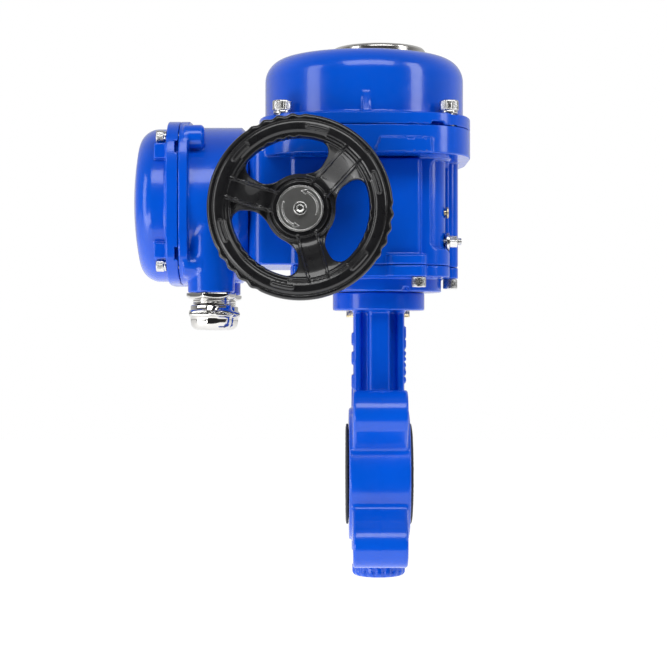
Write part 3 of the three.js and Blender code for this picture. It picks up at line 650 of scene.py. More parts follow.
def hex_bolt_surface(flats, height, shank, length, steps=96):
    """A hexagon bolt, head down: the chamfered head from -height to 0 and a shank above it."""
    levels = [(flats * 0.3, -height), (flats * 0.46, -height)]
    levels += hexagon_levels(flats, -height, 0, True, False, steps)
    levels += [(shank + 0.4, 0), (shank, 0.3), (shank, length - 0.4), (shank - 0.4, length)]
    return skin(stack(levels, steps))


def valve_pieces():
    """Builds the body, its threads, seat, disc, cap and flange bolts."""
    cast("valve_casting", valve_body_shape, "valve_body", COARSE_STEP, "blue_paint")
    sleeve = thread_sleeve(7.05, 0.9, 2.0, 4.4, 18.0, 7.35)
    threads = [
        aimed(sleeve, (face, 0, 0), (0, LUG_OFFSET * side_y, LUG_OFFSET * side_z))
        for side_y, side_z in FOUR_SIGNS for face in (-1, 1)
    ]
    build("lug_threads", merged(*threads), "machined_steel")
    cast("seat_ring", seat_shape, "seat_liner", SEAT_STEP, "seat_rubber")
    cast("closing_disc", disc_shape, "valve_disc", GRID_STEP, "disc_steel", "valve_shaft")
    build("lower_cap", cap_surface(), "blue_paint", ["bottom_cap"])
    head = 4.2
    for i in (1, 2):
        x, y, _ = centre(f"flange_bolt_{i}")
        place = (x, y, span(f"flange_bolt_{i}")[0][2] + head)
        bolt = spun(hex_bolt_surface(10, head, 2.9, 17), 0, place)
        build(f"yellow_hex_bolt_{i}", bolt, "yellow_zinc", [f"flange_bolt_{i}"])


# ---------------------------------------------------------------- the actuator's castings
def main_outline(x, y):
    """The housing's main block, seen from above: a rectangle with corners of 20."""
    return rectangle(x, y, -62, 48.6, -46, 46, 20)


def toes_outline(x, y):
    """Four toes round the front and rear base screws."""
    right = rectangle(x, np.abs(y), 4, 31.3, 30, 57, 6)
    left = rectangle(x, np.abs(y), -53, -39, 30, 57, 6)
    return np.minimum(right, left)


def base_flange_shape(x, y, z):
    """The base flange: a round boss, a plate with toes and a post, less its bores, holes and front groove."""
    top = 145.9
    boss = thick(disc(x, y, 44.3), z, 128.4, 141, 0.8)
    main = thick(main_outline(x, y), z, PLATE_BOTTOM, top, 0.5)
    face = thick(rectangle(x, y, -60, 27.2, -52, 52, 3), z, PLATE_BOTTOM, top, 0.5)
    post = thick(disc(x - 48.6, y, 7.7), z, PLATE_BOTTOM, top, 0.5)
    whole = blend(1.5, boss, main, face, post, thick(toes_outline(x, y), z, PLATE_BOTTOM, top, 0.5))
    groove = outside(np.hypot(x - BOLT_OFFSET, z - 128.4) - 3.0, y + 30)
    tools = [outside(disc(x, y, 26.3), 135.7 - z), disc(x, y, 17.4), groove]
    bolts = [disc(x - BOLT_OFFSET * sx, y - BOLT_OFFSET * sy, 3.6) for sx, sy in FOUR_SIGNS]
    tools += [outside(bolt, z - 133.4) for bolt in bolts]
    tools += [disc(x - sx, y - sy, 3.5) for sx, sy in BASE_SCREWS]
    return carve(0.5, whole, *np.broadcast_arrays(*tools))


def corner_recess(x, y, z):
    """The pockets in the right-hand corners: outside a wall with corners of 17, inside a round-cornered window."""
    window = outside(34.6 - x + 5, 18 - np.abs(y) + 5, between(z, 157.8, 218.2) + 5) - 5
    floor = rectangle(x, y, -62, 45.6, -43, 43, 17)
    return np.maximum(window, -floor)


def room(x, y, z, margin, low, high):
    """The room inside the housing between two heights, with a margin round its sides."""
    left = rectangle(x, y, -84 - margin, 20, -44 - margin, 44 + margin, 6)
    return outside(np.minimum(left, disc(x, y, 44.3 + margin)), between(z, low, high))


def gear_housing_shape(x, y, z):
    """The gear housing: the main, front and side blocks under a rounded-square flange, with worm bosses and toes,
    less the corner pockets, the room inside, the bearing bores and the screw holes."""
    top = HOUSING_HI[2]
    main = thick(main_outline(x, y), z, HOUSING_BOTTOM, 224, 0.5)
    face = thick(rectangle(x, y, -60, 27.2, -52, 52, 3), z, HOUSING_BOTTOM, 218.7, 1.0)
    side = thick(rectangle(x, y, -90, -20, -50, 50, 12), z, HOUSING_BOTTOM, 224, 1.0)
    toes = thick(toes_outline(x, y), z, HOUSING_BOTTOM, 153, 0.8)
    post = thick(disc(x - 48.6, y, 7.7), z, HOUSING_BOTTOM, 224, 0.5)
    flange = thick(squircle(x - BODY_X, y, FLANGE_HALF, FLANGE_POWER), z, FLANGE_BOTTOM, top, 0.6)
    across = disc(x - WORM_X, z - WORM_Z, 19)
    bosses = thick(across, y, -60, 58, 1.2)
    slope = np.clip((z - 220.4) / 10, 0, 1)
    pad = outside(between(x, -4.7 + 4 * slope, 33.9) + 0.5, between(z, 220.6, 230.4) + 0.5, y + 60,
                  squircle(x - BODY_X, y, FLANGE_HALF + 1.3, FLANGE_POWER) + 0.3) - 0.3
    whole = blend(2.2, main, face, side, flange, bosses)
    whole = blend(1.3, blend(1.2, whole, toes, post), pad)
    whole = carve(1.2, whole, corner_recess(x, y, z))
    worm = np.hypot(x - WORM_X, z - WORM_Z)
    tools = [room(x, y, z, 0, 152, 197), room(x, y, z, 1.5, 196.7, 250), outside(disc(x, y, 20), 160 - z - 12)]
    tools += [outside(worm - 13.4, between(y, 30, 53.5)), outside(worm - 13.4, between(y, -53, -30))]
    tools += [outside(worm - 9, y + 40), outside(worm - 12.4, y + 54.5)]
    tools += [outside(disc(y, z - BOX_Z, 8), x + 70)]
    for side_y in (-STOP_Y, STOP_Y):
        hole = np.hypot(y - side_y, z - STOP_Z)
        tools += [outside(hole - 2.9, 20 - x), outside(hole - 6.9, 45.7 - x)]
    tools += [outside(np.hypot(y + STOP_Y, z - 183) - 2.4, 40 - x)]
    tools += [outside(disc(x - sx, y - sy, 3.5), z - 151) for sx, sy in BASE_SCREWS]
    tools += [outside(disc(x - sx, y - sy, 4.6), 224 - z) for sx, sy in COVER_SCREWS]
    return carve(0.4, whole, *np.broadcast_arrays(*tools))


def top_cover_shape(x, y, z):
    """The cover: a rounded-square flange under a dome, which is a cylinder whose top edge has a radius of 16,
    with a front rib whose face slopes back into it, hollowed, and cut for the window, screws and prying slot."""
    u = x - BODY_X
    r = np.hypot(u, y)
    lo, hi = COVER_LO[2], COVER_HI[2]
    flange = thick(squircle(u, y, FLANGE_HALF, FLANGE_POWER), z, lo, 247.6, 0.6)
    core = outside(r - 54, z - hi + 16)
    dome = outside(core - 16, lo + 2 - z)
    face = (z - 247.6) * 0.18 - 72.4
    rib = outside(np.abs(u) - 2.5 + 0.8, between(y, face, -60) + 0.8, between(z, 245, 262) + 0.8) - 0.8
    whole = blend(2.0, flange, dome)
    whole = blend(1.5, whole, rib)
    tools = [core - 11, outside(disc(x, y, 27), 280 - z)]
    tools += [outside(between(u, 44, 52), y + 64, z - lo - 2.1)]
    tools += [outside(disc(x - sx, y - sy, 4.8), z - 252) for sx, sy in COVER_SCREWS]
    return carve(0.4, whole, *np.broadcast_arrays(*tools))


def chamfered(distance, along, radius):
    """A round end that is cut back at 45 degrees: the larger of a circle's distance and a cone's."""
    return np.maximum(distance - radius, (distance - radius + along) / math.sqrt(2))


def terminal_box_shape(x, y, z):
    """The terminal box: a barrel along X with a chamfered end, a rounded-square flange, four screw bosses and two
    cable entries underneath, hollowed."""
    v = z - BOX_Z
    r = np.hypot(y, v)
    lo, hi = TBOX_LO[0], TBOX_HI[0]
    barrel = outside(chamfered(r, x + 96.6, 55) + 0.8, between(x, lo + 2, hi) + 0.8) - 0.8
    flange = thick(squircle(y, v, BOX_HALF, BOX_POWER), x, lo, -131, 0.6)
    corner = np.hypot(np.abs(y) - BOX_SCREW_OFFSET, np.abs(v) - BOX_SCREW_OFFSET)
    bosses = outside(chamfered(corner, x + 122, 8) + 0.8, between(x, -134, -120) + 0.8) - 0.8
    entry = np.hypot(x - GLAND_X, np.abs(y) - GLAND_Y)
    whole = blend(2.2, barrel, flange, bosses, thick(entry - 16, z, 127.4, 175, 0.8))
    tools = [outside(r - 50, x + 98), outside(disc(y, v, 8), -110 - x)]
    tools += [outside(entry - 10.1, z - 165), outside(corner - 3.1, x + 124)]
    return carve(0.4, whole, *np.broadcast_arrays(*tools))


def box_cover_shape(x, y, z):
    """The terminal box cover: a rounded-square flange and a dome, which is the common part of a cylinder and a
    large ball with an edge radius of 10, and pads and prying slots beside the screws."""
    v = z - BOX_Z
    r = np.hypot(y, v)
    lo, hi = LID_LO[0], LID_HI[0]
    flange = thick(squircle(y, v, BOX_HALF, BOX_POWER), x, -145.8, hi, 0.7)
    ball = np.sqrt(r * r + (x - lo - 215) ** 2) - 215
    dome = outside(outside(r - 53.9 + 10, ball + 10) - 10, x - hi + 2)
    beside = [between(x, -154.3, -142), between(np.abs(y), 30, 49.5), between(np.abs(v), 28.5, 39.5)]
    pads = outside(*[gap + 1 for gap in beside]) - 1
    whole = blend(1.6, blend(2.0, flange, dome), pads)
    inside = outside(outside(r - 50 + 7, ball + 11) - 7, x - hi - 20)
    corner = np.hypot(np.abs(y) - BOX_SCREW_OFFSET, np.abs(v) - BOX_SCREW_OFFSET)
    slots = outside(-139.8 - x, between(np.abs(v), 32, 40.2), 48 - np.abs(y))
    pockets = outside(corner - 6.6, -x - 160, x + 145.8)
    return carve(0.4, whole, *np.broadcast_arrays(inside, corner - 3.1, slots, pockets))


def casting_pieces():
    """Builds the actuator's five painted castings."""
    for name, field, node_name, step in (
        ("base_casting", base_flange_shape, "base_flange", COARSE_STEP),
        ("housing_casting", gear_housing_shape, "gear_housing", COARSE_STEP * 1.05),
        ("cover_casting", top_cover_shape, "top_cover", COARSE_STEP * 1.1),
        ("terminal_casting", terminal_box_shape, "terminal_box", COARSE_STEP),
        ("terminal_lid", box_cover_shape, "terminal_box_cover", GRID_STEP),
    ):
        cast(name, field, node_name, step, "blue_paint")


# ---------------------------------------------------------------- the handwheel
def spoke_angle(u, v):
    """The angle from the nearest of three spokes, at 45, 165 and 285 degrees, in radians."""
    turn = np.arctan2(v, u)
    third = TAU / 3
    return (turn - math.radians(45) + third / 2) % third - third / 2


def handwheel_shape(x, y, z):
    """The handwheel: a rounded rim, a stepped hub, and three ribbed spokes on a web with egg-shaped windows.

    The web is what is left of the wheel's circle outside the windows, and it climbs from the hub to the rim. Grip
    waves, cos(40 turn), roll the rim between the spokes.
    """
    u, v, w = x - WORM_X, z - WORM_Z, -y
    r = np.hypot(u, v)
    turn = np.arctan2(v, u)
    angle = spoke_angle(u, v)
    along, across = r * np.cos(angle), np.abs(r * np.sin(angle))
    between_spokes = np.clip((np.abs(angle) - math.radians(39)) / math.radians(6), 0, 1)
    wave = between_spokes * np.cos(40 * turn)
    rim = outside(np.abs(r - 53.2) - 4.6 + 3.4, between(w, 84, 98.6) + 3.4) - 3.4
    inner_band = outside(np.abs(r - 48.6) - 2.6 + 0.45 * wave + 1.2, between(w, 86, 96.9) + 1.2) - 1.2
    outer_band = outside(np.abs(r - 57.6) - 3.4 + 0.7 * wave + 2.2, between(w, 85, 96.4) + 2.2) - 2.2
    edge_rib = [np.abs(r - 49.0) - 0.35, (np.abs(angle) - math.radians(24)) * r, between(w, 90, 97.4)]
    edge_rib = outside(*edge_rib) - 0.35
    climb = np.clip((r - 21) / 27, 0, 1)
    climb = climb * climb * (3 - 2 * climb)
    web_top = 77.5 + 14.5 * climb
    flat_top = 80.4 + 15.8 * climb
    half_width = 8.4 + 0.22 * (along - 24)
    window = outside(r - 45.6 + 9, 23.6 - r + 9, half_width - across + 9) - 9
    web = outside(-window + 1, r - 50 + 1, 0.86 * np.abs(w - web_top + 3) - 3 + 1) - 1
    strip = outside(across - 5.4 + 0.4, between(along, 15, 50), 0.86 * np.abs(w - flat_top + 4) - 4 + 0.4) - 0.4
    ribs = [np.abs(across - 6.4) - 0.5, between(along, 17, 49.5), 0.86 * np.abs(w - flat_top + 3) - 3.9]
    ribs = outside(*ribs) - 0.3
    hub = outside(r - 22.5 + 1.5, between(w, 66, 79.6) + 1.5) - 1.5
    seat = outside(r - 18.8 + 1, between(w, 64, 82) + 1) - 1
    collar = outside(np.abs(r - 20.6) - 0.3, between(w, 70, 80.2)) - 0.3
    sixth = TAU / 6
    bar_turn = (turn - math.radians(17.5) + sixth / 2) % sixth - sixth / 2
    past = np.maximum(np.abs(bar_turn) - math.radians(7), 0) * r
    bars = np.sqrt(past ** 2 + (r - 52.9) ** 2 + np.maximum(np.abs(w - 94) - 4.6, 0) ** 2) - 1.35
    whole = blend(1.2, blend(2.0, rim, web), blend(1.4, hub, seat), strip)
    whole = blend(0.7, whole, ribs, collar, bars, inner_band, outer_band, edge_rib)
    groove = np.hypot(r - 57.6, w - 96.7) - 0.55
    square = outside(np.maximum(np.abs(u), np.abs(v)) - 4.8, w - 79)
    return carve(0.3, whole, *np.broadcast_arrays(groove, square))


def medallion_shape(x, y, z):
    """The hub plate: a disc with a raised rim and two raised arrows that curve the way the wheel turns."""
    u, v, w = x - WORM_X, z - WORM_Z, -y
    r = np.hypot(u, v)
    plate = outside(r - 15.5 + 0.3, between(w, 82.3, 83.5) + 0.3) - 0.3
    rim = outside(np.abs(r - 14.9) - 0.35, between(w, 82.6, 84.2)) - 0.2
    marks = []
    for middle in (205, 25):
        turn = (np.arctan2(v, u) - math.radians(middle) + math.pi) % TAU - math.pi
        shaft = outside(np.abs(r - 11.6) - 0.32, (np.abs(turn) - math.radians(46)) * r)
        tip = (turn - math.radians(44)) * r
        head = outside(np.abs(r - 11.6) - 1.5 + 0.45 * tip, -tip, tip - 3.6)
        marks.append(outside(np.minimum(shaft, head), between(w, 83, 83.8)) - 0.08)
    return carve(0.2, blend(0.3, plate, rim, *marks), *np.broadcast_arrays(r - 3.0, w * 0 + 9))


def handwheel_pieces():
    """Builds the wheel, its plate and its screw."""
    drive = "handwheel_drive"
    cast("hand_wheel", handwheel_shape, "handwheel", WHEEL_STEP, "handwheel_enamel", drive)
    cast("hub_medallion", medallion_shape, "handwheel_plate", PLATE_STEP, "medallion_steel", drive)
    screw = socket_screw_surface(4.5, 3.0, 2.5, 14, 0)
    place = (WORM_X, span("handwheel_screw")[0][1] + 3.0, WORM_Z)
    build("hub_screw", aimed(screw, (0, -1, 0), place), "stainless", ["handwheel_screw"], drive)


# ---------------------------------------------------------------- fasteners
def socket_screw_surface(head, height, shank, length, washer, steps=240):
    """A socket screw, head up: shank, split washer, knurled head and hexagon socket as one skin.

    The knurl is a wave round the head, 0.012 head cos(40 angle). The socket's rings are hexagons.
    """
    knurl = 0.012 * head * np.cos(40 * np.arange(steps) * TAU / steps)
    hexagon = polygon_radii(6, head * 0.96, steps)
    levels = [(shank * 0.6, -length), (shank - 0.3, -length), (shank, -length + 0.4)]
    levels += [(shank, -0.2), (shank, 0.0)]
    if washer:
        wide = head * 0.9
        levels += [(wide - 0.2, 0.0), (wide, 0.2), (wide, washer - 0.2), (wide - 0.25, washer)]
        levels += [(wide - 0.7, washer + 0.05)]
    levels += [(head - 0.35, washer + 0.05), (head, washer + 0.35), (head, washer + 0.5)]
    levels += [(head + knurl, h) for h in np.linspace(washer + 0.6, height - 0.16 * head, 4)]
    edge = 0.14 * head
    bend = np.linspace(0, math.pi / 2, 6)
    levels += [(head - edge + edge * math.cos(t), height - edge + edge * math.sin(t)) for t in bend]
    levels += [(head * 0.66, height), (hexagon * 1.1, height), (hexagon * 1.02, height - 0.12)]
    deep = height - washer
    levels += [(hexagon, height - 0.3), (hexagon, height - 0.55 * deep), (hexagon * 0.9, height - 0.6 * deep)]
    levels += [(0.4, height - 0.64 * deep)]
    return skin(stack(levels, steps))


def threaded_rod_surface(radius, depth, pitch, low, high, steps=36, per_pitch=6):
    """A threaded rod: its radius less depth times the thread's wave, with a narrower ring at each end."""
    heights = np.arange(low + 0.4, high - 0.4, pitch / per_pitch)
    rows = radius - depth * thread_wave(heights, pitch, steps)
    return skin(stack([(radius - 0.7, low), *zip(rows, heights), (radius - 0.7, high)], steps))


def nut_surface(flats, hole, low, high, steps=96):
    """A hexagon nut, chamfered at both ends, with a round hole: one closed skin."""
    levels = [(hole + 0.3, low), *hexagon_levels(flats, low, high, True, True, steps), (hole + 0.3, high)]
    levels += [(hole, high - 0.3), (hole, low + 0.3)]
    return skin(stack(levels, steps), closed=True)


def washer_surface(inner, outer, low, high):
    """A flat washer: its square section with rounded corners, turned."""
    section = [(inner, low), (outer, low), (outer, high), (inner, high), (inner, low + 0.01), (inner, low)]
    profile = fillet(section, 0.35)
    return turned(np.concatenate([profile[:-2], profile[:1]]), 64)


def fastener_pieces():
    """Builds the socket screws, the stop bolts with their nuts and washers, and the earth screw."""
    up, down, left, right = (0, 0, 1), (0, 0, -1), (-1, 0, 0), (1, 0, 0)
    for kind, count, axis, sizes in (
        ("cover_screw", 4, up, (6.5, 9.0, 3.9, 21, 2.0)),
        ("base_screw", 5, down, (5.0, 7.0, 2.9, 11, 0)),
        ("box_screw", 4, left, (4.25, 7.0, 2.4, 18, 1.4)),
    ):
        screw = socket_screw_surface(*sizes)
        for i in range(1, count + 1):
            place = head_seat(f"{kind}_{i}", axis, sizes[3])
            build(f"{kind}_steel_{i}", aimed(screw, axis, place), "stainless", [f"{kind}_{i}"])
    for stop in ("open", "closed"):
        _, y, z = centre(f"stop_bolt_{stop}")
        for piece, part, surface_of in (
            ("stop_rod", "stop_bolt", lambda lo, hi: threaded_rod_surface(2.5, 0.36, 0.8, lo, hi)),
            ("stop_hex", "stop_nut", lambda lo, hi: nut_surface(8, 2.75, lo, hi)),
            ("stop_ring", "stop_washer", lambda lo, hi: washer_surface(2.9, 6.2, lo, hi)),
        ):
            lo, hi = span(f"{part}_{stop}")
            surface = aimed(surface_of(lo[0], hi[0]), right, (0, y, z))
            build(f"{piece}_{stop}", surface, "stainless", [f"{part}_{stop}"])
    screw = socket_screw_surface(4.0, 1.6, 2.0, 3.4, 0)
    place = head_seat("earth_screw", right, 3.4)
    build("earth_point", aimed(screw, right, place), "yellow_zinc", ["earth_screw"])


def head_seat(node_name, axis, length):
    """Where a CAD screw's head sits: the shank's end, moved length along the axis that the head faces."""
    lo, hi = span(node_name)
    axis = np.array(axis, float)
    middle = (lo + hi) / 2
    end = np.where(axis > 0, lo, np.where(axis < 0, hi, middle))
    return end + axis * length


# ---------------------------------------------------------------- cable glands
def gland_body_surface(steps=96):
    """A gland's body: a chamfered hexagon flange above a threaded neck, with a plain end screwed into the box."""
    heights = np.arange(119.6, 123.2, 0.25)
    levels = [(5, 108), (9.6, 108), (10, 108.5), (10, 119.2), (12, 119.4)]
    levels += zip(12.7 - 0.55 * thread_wave(heights, 1.5, steps), heights)
    levels += hexagon_levels(30, 123.4, 127.1, True, False, steps)
    levels += [(10.2, 127.1), (9.7, 127.3), (9.7, 139.6), (9.3, 140), (4, 140)]
    return skin(stack(levels, steps))


def gland_nut_surface(steps=96):
    """A gland's nut: rounded below, a hexagon collar round its waist, and softened hexagon flats above and below.

    A softened ring is the lesser of a hexagon and a circle.
    """
    soft = [
        (21.2, 10.9, 102.3), (24, 12.3, 103.1), (26, 13.2, 104.2), (27.2, 13.9, 105.6), (27.8, 14.3, 107.2),
        (28, 14.5, 109), (28, 14.5, 110.9), (28, 14.5, 115.6), (28, 14.5, 118.2), (27.6, 14.2, 118.7),
    ]
    soft = [(np.minimum(polygon_radii(6, flats, steps), circle), h) for flats, circle, h in soft]
    levels = [(6.5, 104), (6.5, 102.6), (6.9, 102.05), (7.6, 101.8), (8.8, 101.85), *soft[:7]]
    levels += [*hexagon_levels(30, 111, 115.4, True, True, steps), *soft[7:], (13.2, 119)]
    levels += [(13.1, 118.8), (13.1, 107.8), (12, 107.5), (6.9, 104.4)]
    return skin(stack(levels, steps), closed=True)


def gland_pieces():
    """Builds both glands: body, nut, and the rubber plug that closes the mouth."""
    plug = turned(fillet([(0, 102.9), (5.4, 103.1), (6.3, 103.8), (6.3, 107.4), (0, 107.4)], 0.6), 48)
    for i in (1, 2):
        place = np.array([GLAND_X, centre(f"gland_nut_{i}")[1], 0.0])
        build(f"gland_neck_{i}", spun(gland_body_surface(), -14, place), "nickel", [f"gland_body_{i}"])
        build(f"gland_collar_{i}", spun(gland_nut_surface(), 7, place), "nickel", [f"gland_nut_{i}"])
        build(f"gland_plug_{i}", spun(plug, 0, place), "seat_rubber")


# ---------------------------------------------------------------- position indicator
def dial_shape(x, y, z):
    """The dial: a thin disc with a round-ended pointer bar across it."""
    plate = outside(disc(x, y, 22) + 0.3, between(z, 291, 292.4) + 0.3) - 0.3
    bar = outside(np.hypot(np.maximum(np.abs(x) - 15, 0), y) - 3 + 0.4, between(z, 291.5, 294.6) + 0.4) - 0.4
    return blend(0.4, plate, bar)


def scale_mark(angle):
    """A mark on the scale: a flat bar along the radius, longer at each quarter turn."""
    long = 1.7 if angle % 90 == 0 else 1.1
    bar = np.array([(r, t, h) for r in (24.5 - long, 24.5 + long) for t in (-0.35, 0.35) for h in (292.1, 292.4)])
    faces = np.array([(0, 1, 3, 2), (4, 6, 7, 5), (0, 4, 5, 1), (2, 3, 7, 6), (0, 2, 6, 4), (1, 5, 7, 3)])
    return spun((bar, faces), angle, 0)


def indicator_pieces():
    """Builds the bezel, the window, the dial with its pointer bar, and the fixed scale round it."""
    seat, top = (corner[2] for corner in span("indicator_bezel"))
    outline = [
        (24, seat + 0.6), (24, seat), (33, seat), (33, top - 1.6), (31.6, top), (29.2, top), (29, top - 0.6),
        (29, 295.3), (24, 295.3), (24, seat + 0.6),
    ]
    ring = turned(np.concatenate([fillet(outline, 0.7)[:-1], [outline[0]]]), 144)
    build("window_bezel", ring, "bezel_steel", ["indicator_bezel"])
    outline = [(0, 295.7), (28.6, 295.7), (28.6, 298.3), (20, 298.45), (0, 298.5)]
    build("sight_glass", turned(fillet(outline, [0, 0.5, 0.5, 2, 0]), 96), "clear_window", ["indicator_window"])
    cast("pointer_dial", dial_shape, "indicator_dial", DIAL_STEP, "pointer_paint", "valve_shaft")
    outline = [(22.5, 290.5), (26.5, 290.5), (26.5, 292.2), (22.5, 292.2), (22.5, 290.5)]
    build("scale_ring", turned(outline, 120), "scale_white")
    build("scale_marks", merged(*[scale_mark(angle) for angle in range(0, 360, 15)]), "black_plastic")


# ---------------------------------------------------------------- the pieces inside
INSIDE = {
    "valve_stem": "machined_steel", "stem_bush_upper": "bronze", "stem_bush_lower": "bronze",
    "stem_seal": "seat_rubber", "worm_shaft": "machined_steel", "spur_gear": "machined_steel",
    "drive_sleeve": "machined_steel", "worm_wheel": "bronze", "limit_cam": "black_plastic",
    "motor_pinion": "machined_steel", "motor": "stainless", "output_bearing": "machined_steel",
    "worm_bearing_front": "machined_steel", "worm_bearing_rear": "machined_steel", "worm_seal": "seat_rubber",
    "switch_deck": "zinc_sheet", "limit_switches": "black_plastic", "terminal_block": "cream_plastic",
}


def dress(node_name):
    """Gives a CAD node that stays the finish that the list of inside pieces names."""
    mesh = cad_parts[node_name].data
    mesh.materials.clear()
    mesh.materials.append(finish(INSIDE[node_name]))


# ---------------------------------------------------------------- stage, in metres
CAMERA_PLACE = (-0.032, -1.188, 0.0994)
CAMERA_LENS = 90.3
STAGE_MIDDLE = (-0.04, 0.0, 0.12)
FLOOR_REACH = 6.0      # how far the floor runs to each side and to the back
FLOOR_FRONT = -0.7     # where it ends, so that the front of the paint reflects a dim room
SOFT_BOXES = (         # name, place, width and height, power
    ("left_box", (-1.25, -0.72, 0.30), (0.40, 1.4), 7.5),
    ("right_box", (1.25, -0.72, 0.78), (0.40, 1.0), 7.5),
    ("front_high", (0.1, -1.25, 1.25), (1.5, 0.6), 15.0),
    ("low_left", (-0.75, -0.80, -0.22), (0.6, 0.3), 3.0),
)


def studio_world(sizes):
    """A white room that is dim in front of the valve: its brightness climbs with the direction's Y and Z.

    The background behind the valve stays white.
    """
    world = bpy.data.worlds.new("studio")
    world.use_nodes = True
    tree = world.node_tree
    background = tree.nodes["Background"]
    where = tree.nodes.new("ShaderNodeTexCoord")
    split = tree.nodes.new("ShaderNodeSeparateXYZ")
    tree.links.new(where.outputs["Generated"], split.inputs["Vector"])
    depth = spread(tree, split.outputs["Y"], sizes.front_dim, sizes.surround, -0.35, 0.6)
    height = spread(tree, split.outputs["Z"], 0.0, 0.25 * sizes.surround, 0.2, 1.0)
    total = tree.nodes.new("ShaderNodeMath")
    tree.links.new(depth, total.inputs[0])
    tree.links.new(height, total.inputs[1])
    path = tree.nodes.new("ShaderNodeLightPath")
    shown = tree.nodes.new("ShaderNodeMath")
    shown.operation = "MAXIMUM"
    tree.links.new(total.outputs[0], shown.inputs[0])
    tree.links.new(path.outputs["Is Camera Ray"], shown.inputs[1])
    tree.links.new(shown.outputs[0], background.inputs["Strength"])
    background.inputs["Color"].default_value = (1, 1, 1, 1)
    return world


def stage_pieces():
    """Lays the pale floor, hangs the soft lights and sets up the camera."""
    sizes = bpy.context.scene.valve_stage
    scene = bpy.context.scene
    scene.world = studio_world(sizes)
    scene.view_settings.view_transform = "Standard"
    corners = [(side * FLOOR_REACH, FLOOR_FRONT) for side in (-1, 1)]
    corners += [(side * FLOOR_REACH, FLOOR_REACH) for side in (1, -1)]
    mesh = bpy.data.meshes.new("floor")
    mesh.from_pydata([(x, y, -sizes.floor_drop) for x, y in corners], [], [(0, 1, 2, 3)])
    floor = bpy.data.objects.new("floor", mesh)
    scene.collection.objects.link(floor)
    material, tree, shader = new_material("pale_floor")
    tone = mix(tree, noise(tree, place_vector(tree), 0.6), (0.9, 0.9, 0.9), (0.93, 0.93, 0.93))
    tree.links.new(tone, shader.inputs["Base Color"])
    shader.inputs["Roughness"].default_value = 0.9
    shader.inputs["Emission Color"].default_value = (1, 1, 1, 1)
    shader.inputs["Emission Strength"].default_value = sizes.floor_glow
    mesh.materials.append(material)
    for name, place, (wide, tall), power in SOFT_BOXES:
        lamp = bpy.data.lights.new(name, "AREA")
        lamp.shape = "RECTANGLE"
        lamp.size, lamp.size_y = wide, tall
        lamp.energy = power * sizes.light
        lamp.color = (1, 1, 1)
        holder = bpy.data.objects.new(name, lamp)
        holder.location = place
        holder.rotation_euler = (Vector(STAGE_MIDDLE) - Vector(place)).to_track_quat("-Z", "Y").to_euler()
        holder.visible_camera = False
        scene.collection.objects.link(holder)
    camera = bpy.data.objects.new("camera", bpy.data.cameras.new("camera"))
    camera.data.lens = CAMERA_LENS
    camera.data.sensor_width = 36
    camera.data.clip_end = 50
    camera.location = CAMERA_PLACE
    camera.rotation_euler = (math.pi / 2, 0, 0)
    scene.collection.objects.link(camera)
    scene.camera = camera


# ---------------------------------------------------------------- what a user may change
def colour_property(name, description, default):
    """A colour the user may change."""
    return FloatVectorProperty(
        name=name, description=description, subtype="COLOR", size=3, min=0, max=1, default=default)


class ValveColours(bpy.types.PropertyGroup):
    """The colours of the valve's finishes."""

    paint: colour_property("Paint", "Gloss paint on every casting", (0.0, 0.084, 0.62))
    enamel: colour_property("Enamel", "Gloss enamel on the handwheel", (0.006, 0.006, 0.007))
    stainless: colour_property("Stainless", "Screws, disc and hub plate", (0.66, 0.66, 0.65))
    nickel: colour_property("Nickel", "Cable glands and window bezel", (0.6, 0.59, 0.57))
    zinc: colour_property("Yellow zinc", "Flange bolts and earth screw", (0.72, 0.6, 0.36))


class ValveStage(bpy.types.PropertyGroup):
    """The studio round the valve."""

    floor_drop: FloatProperty(
        name="Floor drop", description="How far the floor lies below the pipe axis", default=0.36, min=0.08,
        subtype="DISTANCE", unit="LENGTH")
    floor_glow: FloatProperty(
        name="Floor glow", description="Light that the floor gives out, to keep it pale", default=0.7,
        min=0, max=2)
    surround: FloatProperty(
        name="Surround", description="Brightness of the white room beside and behind", default=0.6,
        min=0, max=5)
    front_dim: FloatProperty(
        name="Front", description="Brightness of the room in front of the valve", default=0.03, min=0, max=5)
    light: FloatProperty(
        name="Light", description="Brightness of the soft lights, as a factor", default=1.0, min=0, max=5)


# ---------------------------------------------------------------- operators
class VALVE_OT_stage(bpy.types.Operator):
    """Lay the floor and set the lights and the camera"""

    bl_idname = "valve.stage"
    bl_label = "Stage"

    def execute(self, context):
        stage_pieces()
        return {"FINISHED"}


class VALVE_OT_valve(bpy.types.Operator):
    """Build the valve body, seat, disc, cap and flange bolts"""

    bl_idname = "valve.valve"
    bl_label = "Valve"

    def execute(self, context):
        valve_pieces()
        return {"FINISHED"}


class VALVE_OT_castings(bpy.types.Operator):
    """Build the base flange, gear housing, cover and terminal box castings"""

    bl_idname = "valve.castings"
    bl_label = "Actuator castings"

    def execute(self, context):
        casting_pieces()
        return {"FINISHED"}


class VALVE_OT_handwheel(bpy.types.Operator):
    """Build the handwheel, its hub plate and its screw"""

    bl_idname = "valve.handwheel"
    bl_label = "Handwheel"

    def execute(self, context):
        handwheel_pieces()
        return {"FINISHED"}


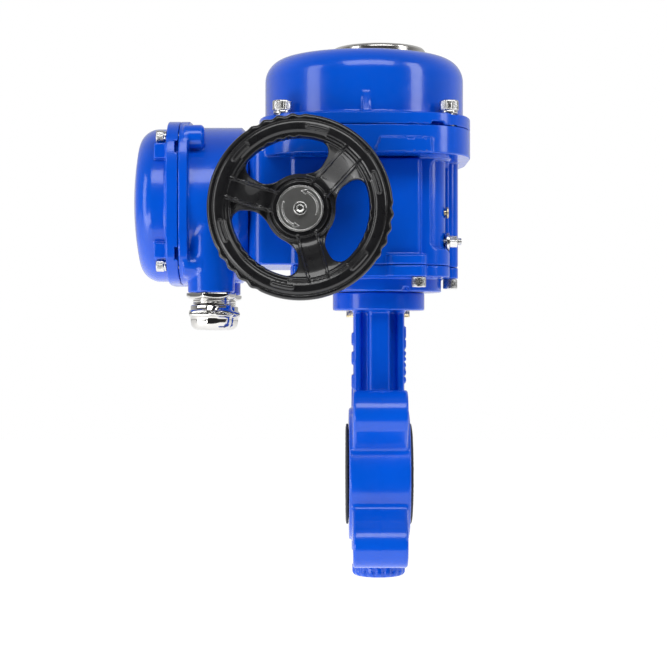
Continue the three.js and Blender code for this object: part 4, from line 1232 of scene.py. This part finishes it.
class VALVE_OT_fasteners(bpy.types.Operator):
    """Build the screws, stop bolts, nuts and washers"""

    bl_idname = "valve.fasteners"
    bl_label = "Fasteners"

    def execute(self, context):
        fastener_pieces()
        return {"FINISHED"}


class VALVE_OT_glands(bpy.types.Operator):
    """Build the two cable glands"""

    bl_idname = "valve.glands"
    bl_label = "Cable glands"

    def execute(self, context):
        gland_pieces()
        return {"FINISHED"}


class VALVE_OT_indicator(bpy.types.Operator):
    """Build the position indicator's bezel, window, dial and scale"""

    bl_idname = "valve.indicator"
    bl_label = "Position indicator"

    def execute(self, context):
        indicator_pieces()
        return {"FINISHED"}


class VALVE_OT_gear_train(bpy.types.Operator):
    """Finish the pieces inside the housing and the terminal box"""

    bl_idname = "valve.gear_train"
    bl_label = "Inside pieces"

    def execute(self, context):
        for name in INSIDE:
            dress(name)
        return {"FINISHED"}


class VALVE_PT_build(bpy.types.Panel):
    """The valve's sidebar panel"""

    bl_label = "Valve"
    bl_space_type = "VIEW_3D"
    bl_region_type = "UI"
    bl_category = "Valve"

    def draw(self, context):
        column = self.layout.column()
        for owner in (context.scene.valve_colours, context.scene.valve_stage):
            for key in owner.__annotations__:
                column.prop(owner, key)
        for operator in OPERATORS:
            column.operator(operator.bl_idname)


OPERATORS = (
    VALVE_OT_stage, VALVE_OT_valve, VALVE_OT_castings, VALVE_OT_handwheel, VALVE_OT_fasteners, VALVE_OT_glands,
    VALVE_OT_indicator, VALVE_OT_gear_train,
)
CLASSES = (ValveColours, ValveStage, *OPERATORS, VALVE_PT_build)


def register():
    """Registers the classes and hangs the settings on the scene."""
    for each in CLASSES:
        bpy.utils.register_class(each)
    bpy.types.Scene.valve_colours = PointerProperty(type=ValveColours)
    bpy.types.Scene.valve_stage = PointerProperty(type=ValveStage)


def unregister():
    """Takes the settings and the classes away again."""
    del bpy.types.Scene.valve_colours
    del bpy.types.Scene.valve_stage
    for each in reversed(CLASSES):
        bpy.utils.unregister_class(each)


def main():
    """Builds everything in order."""
    register()
    for operator in OPERATORS:
        group, name = operator.bl_idname.split(".")
        getattr(getattr(bpy.ops, group), name)()
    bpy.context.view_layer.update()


if __name__ == "__main__":
    main()
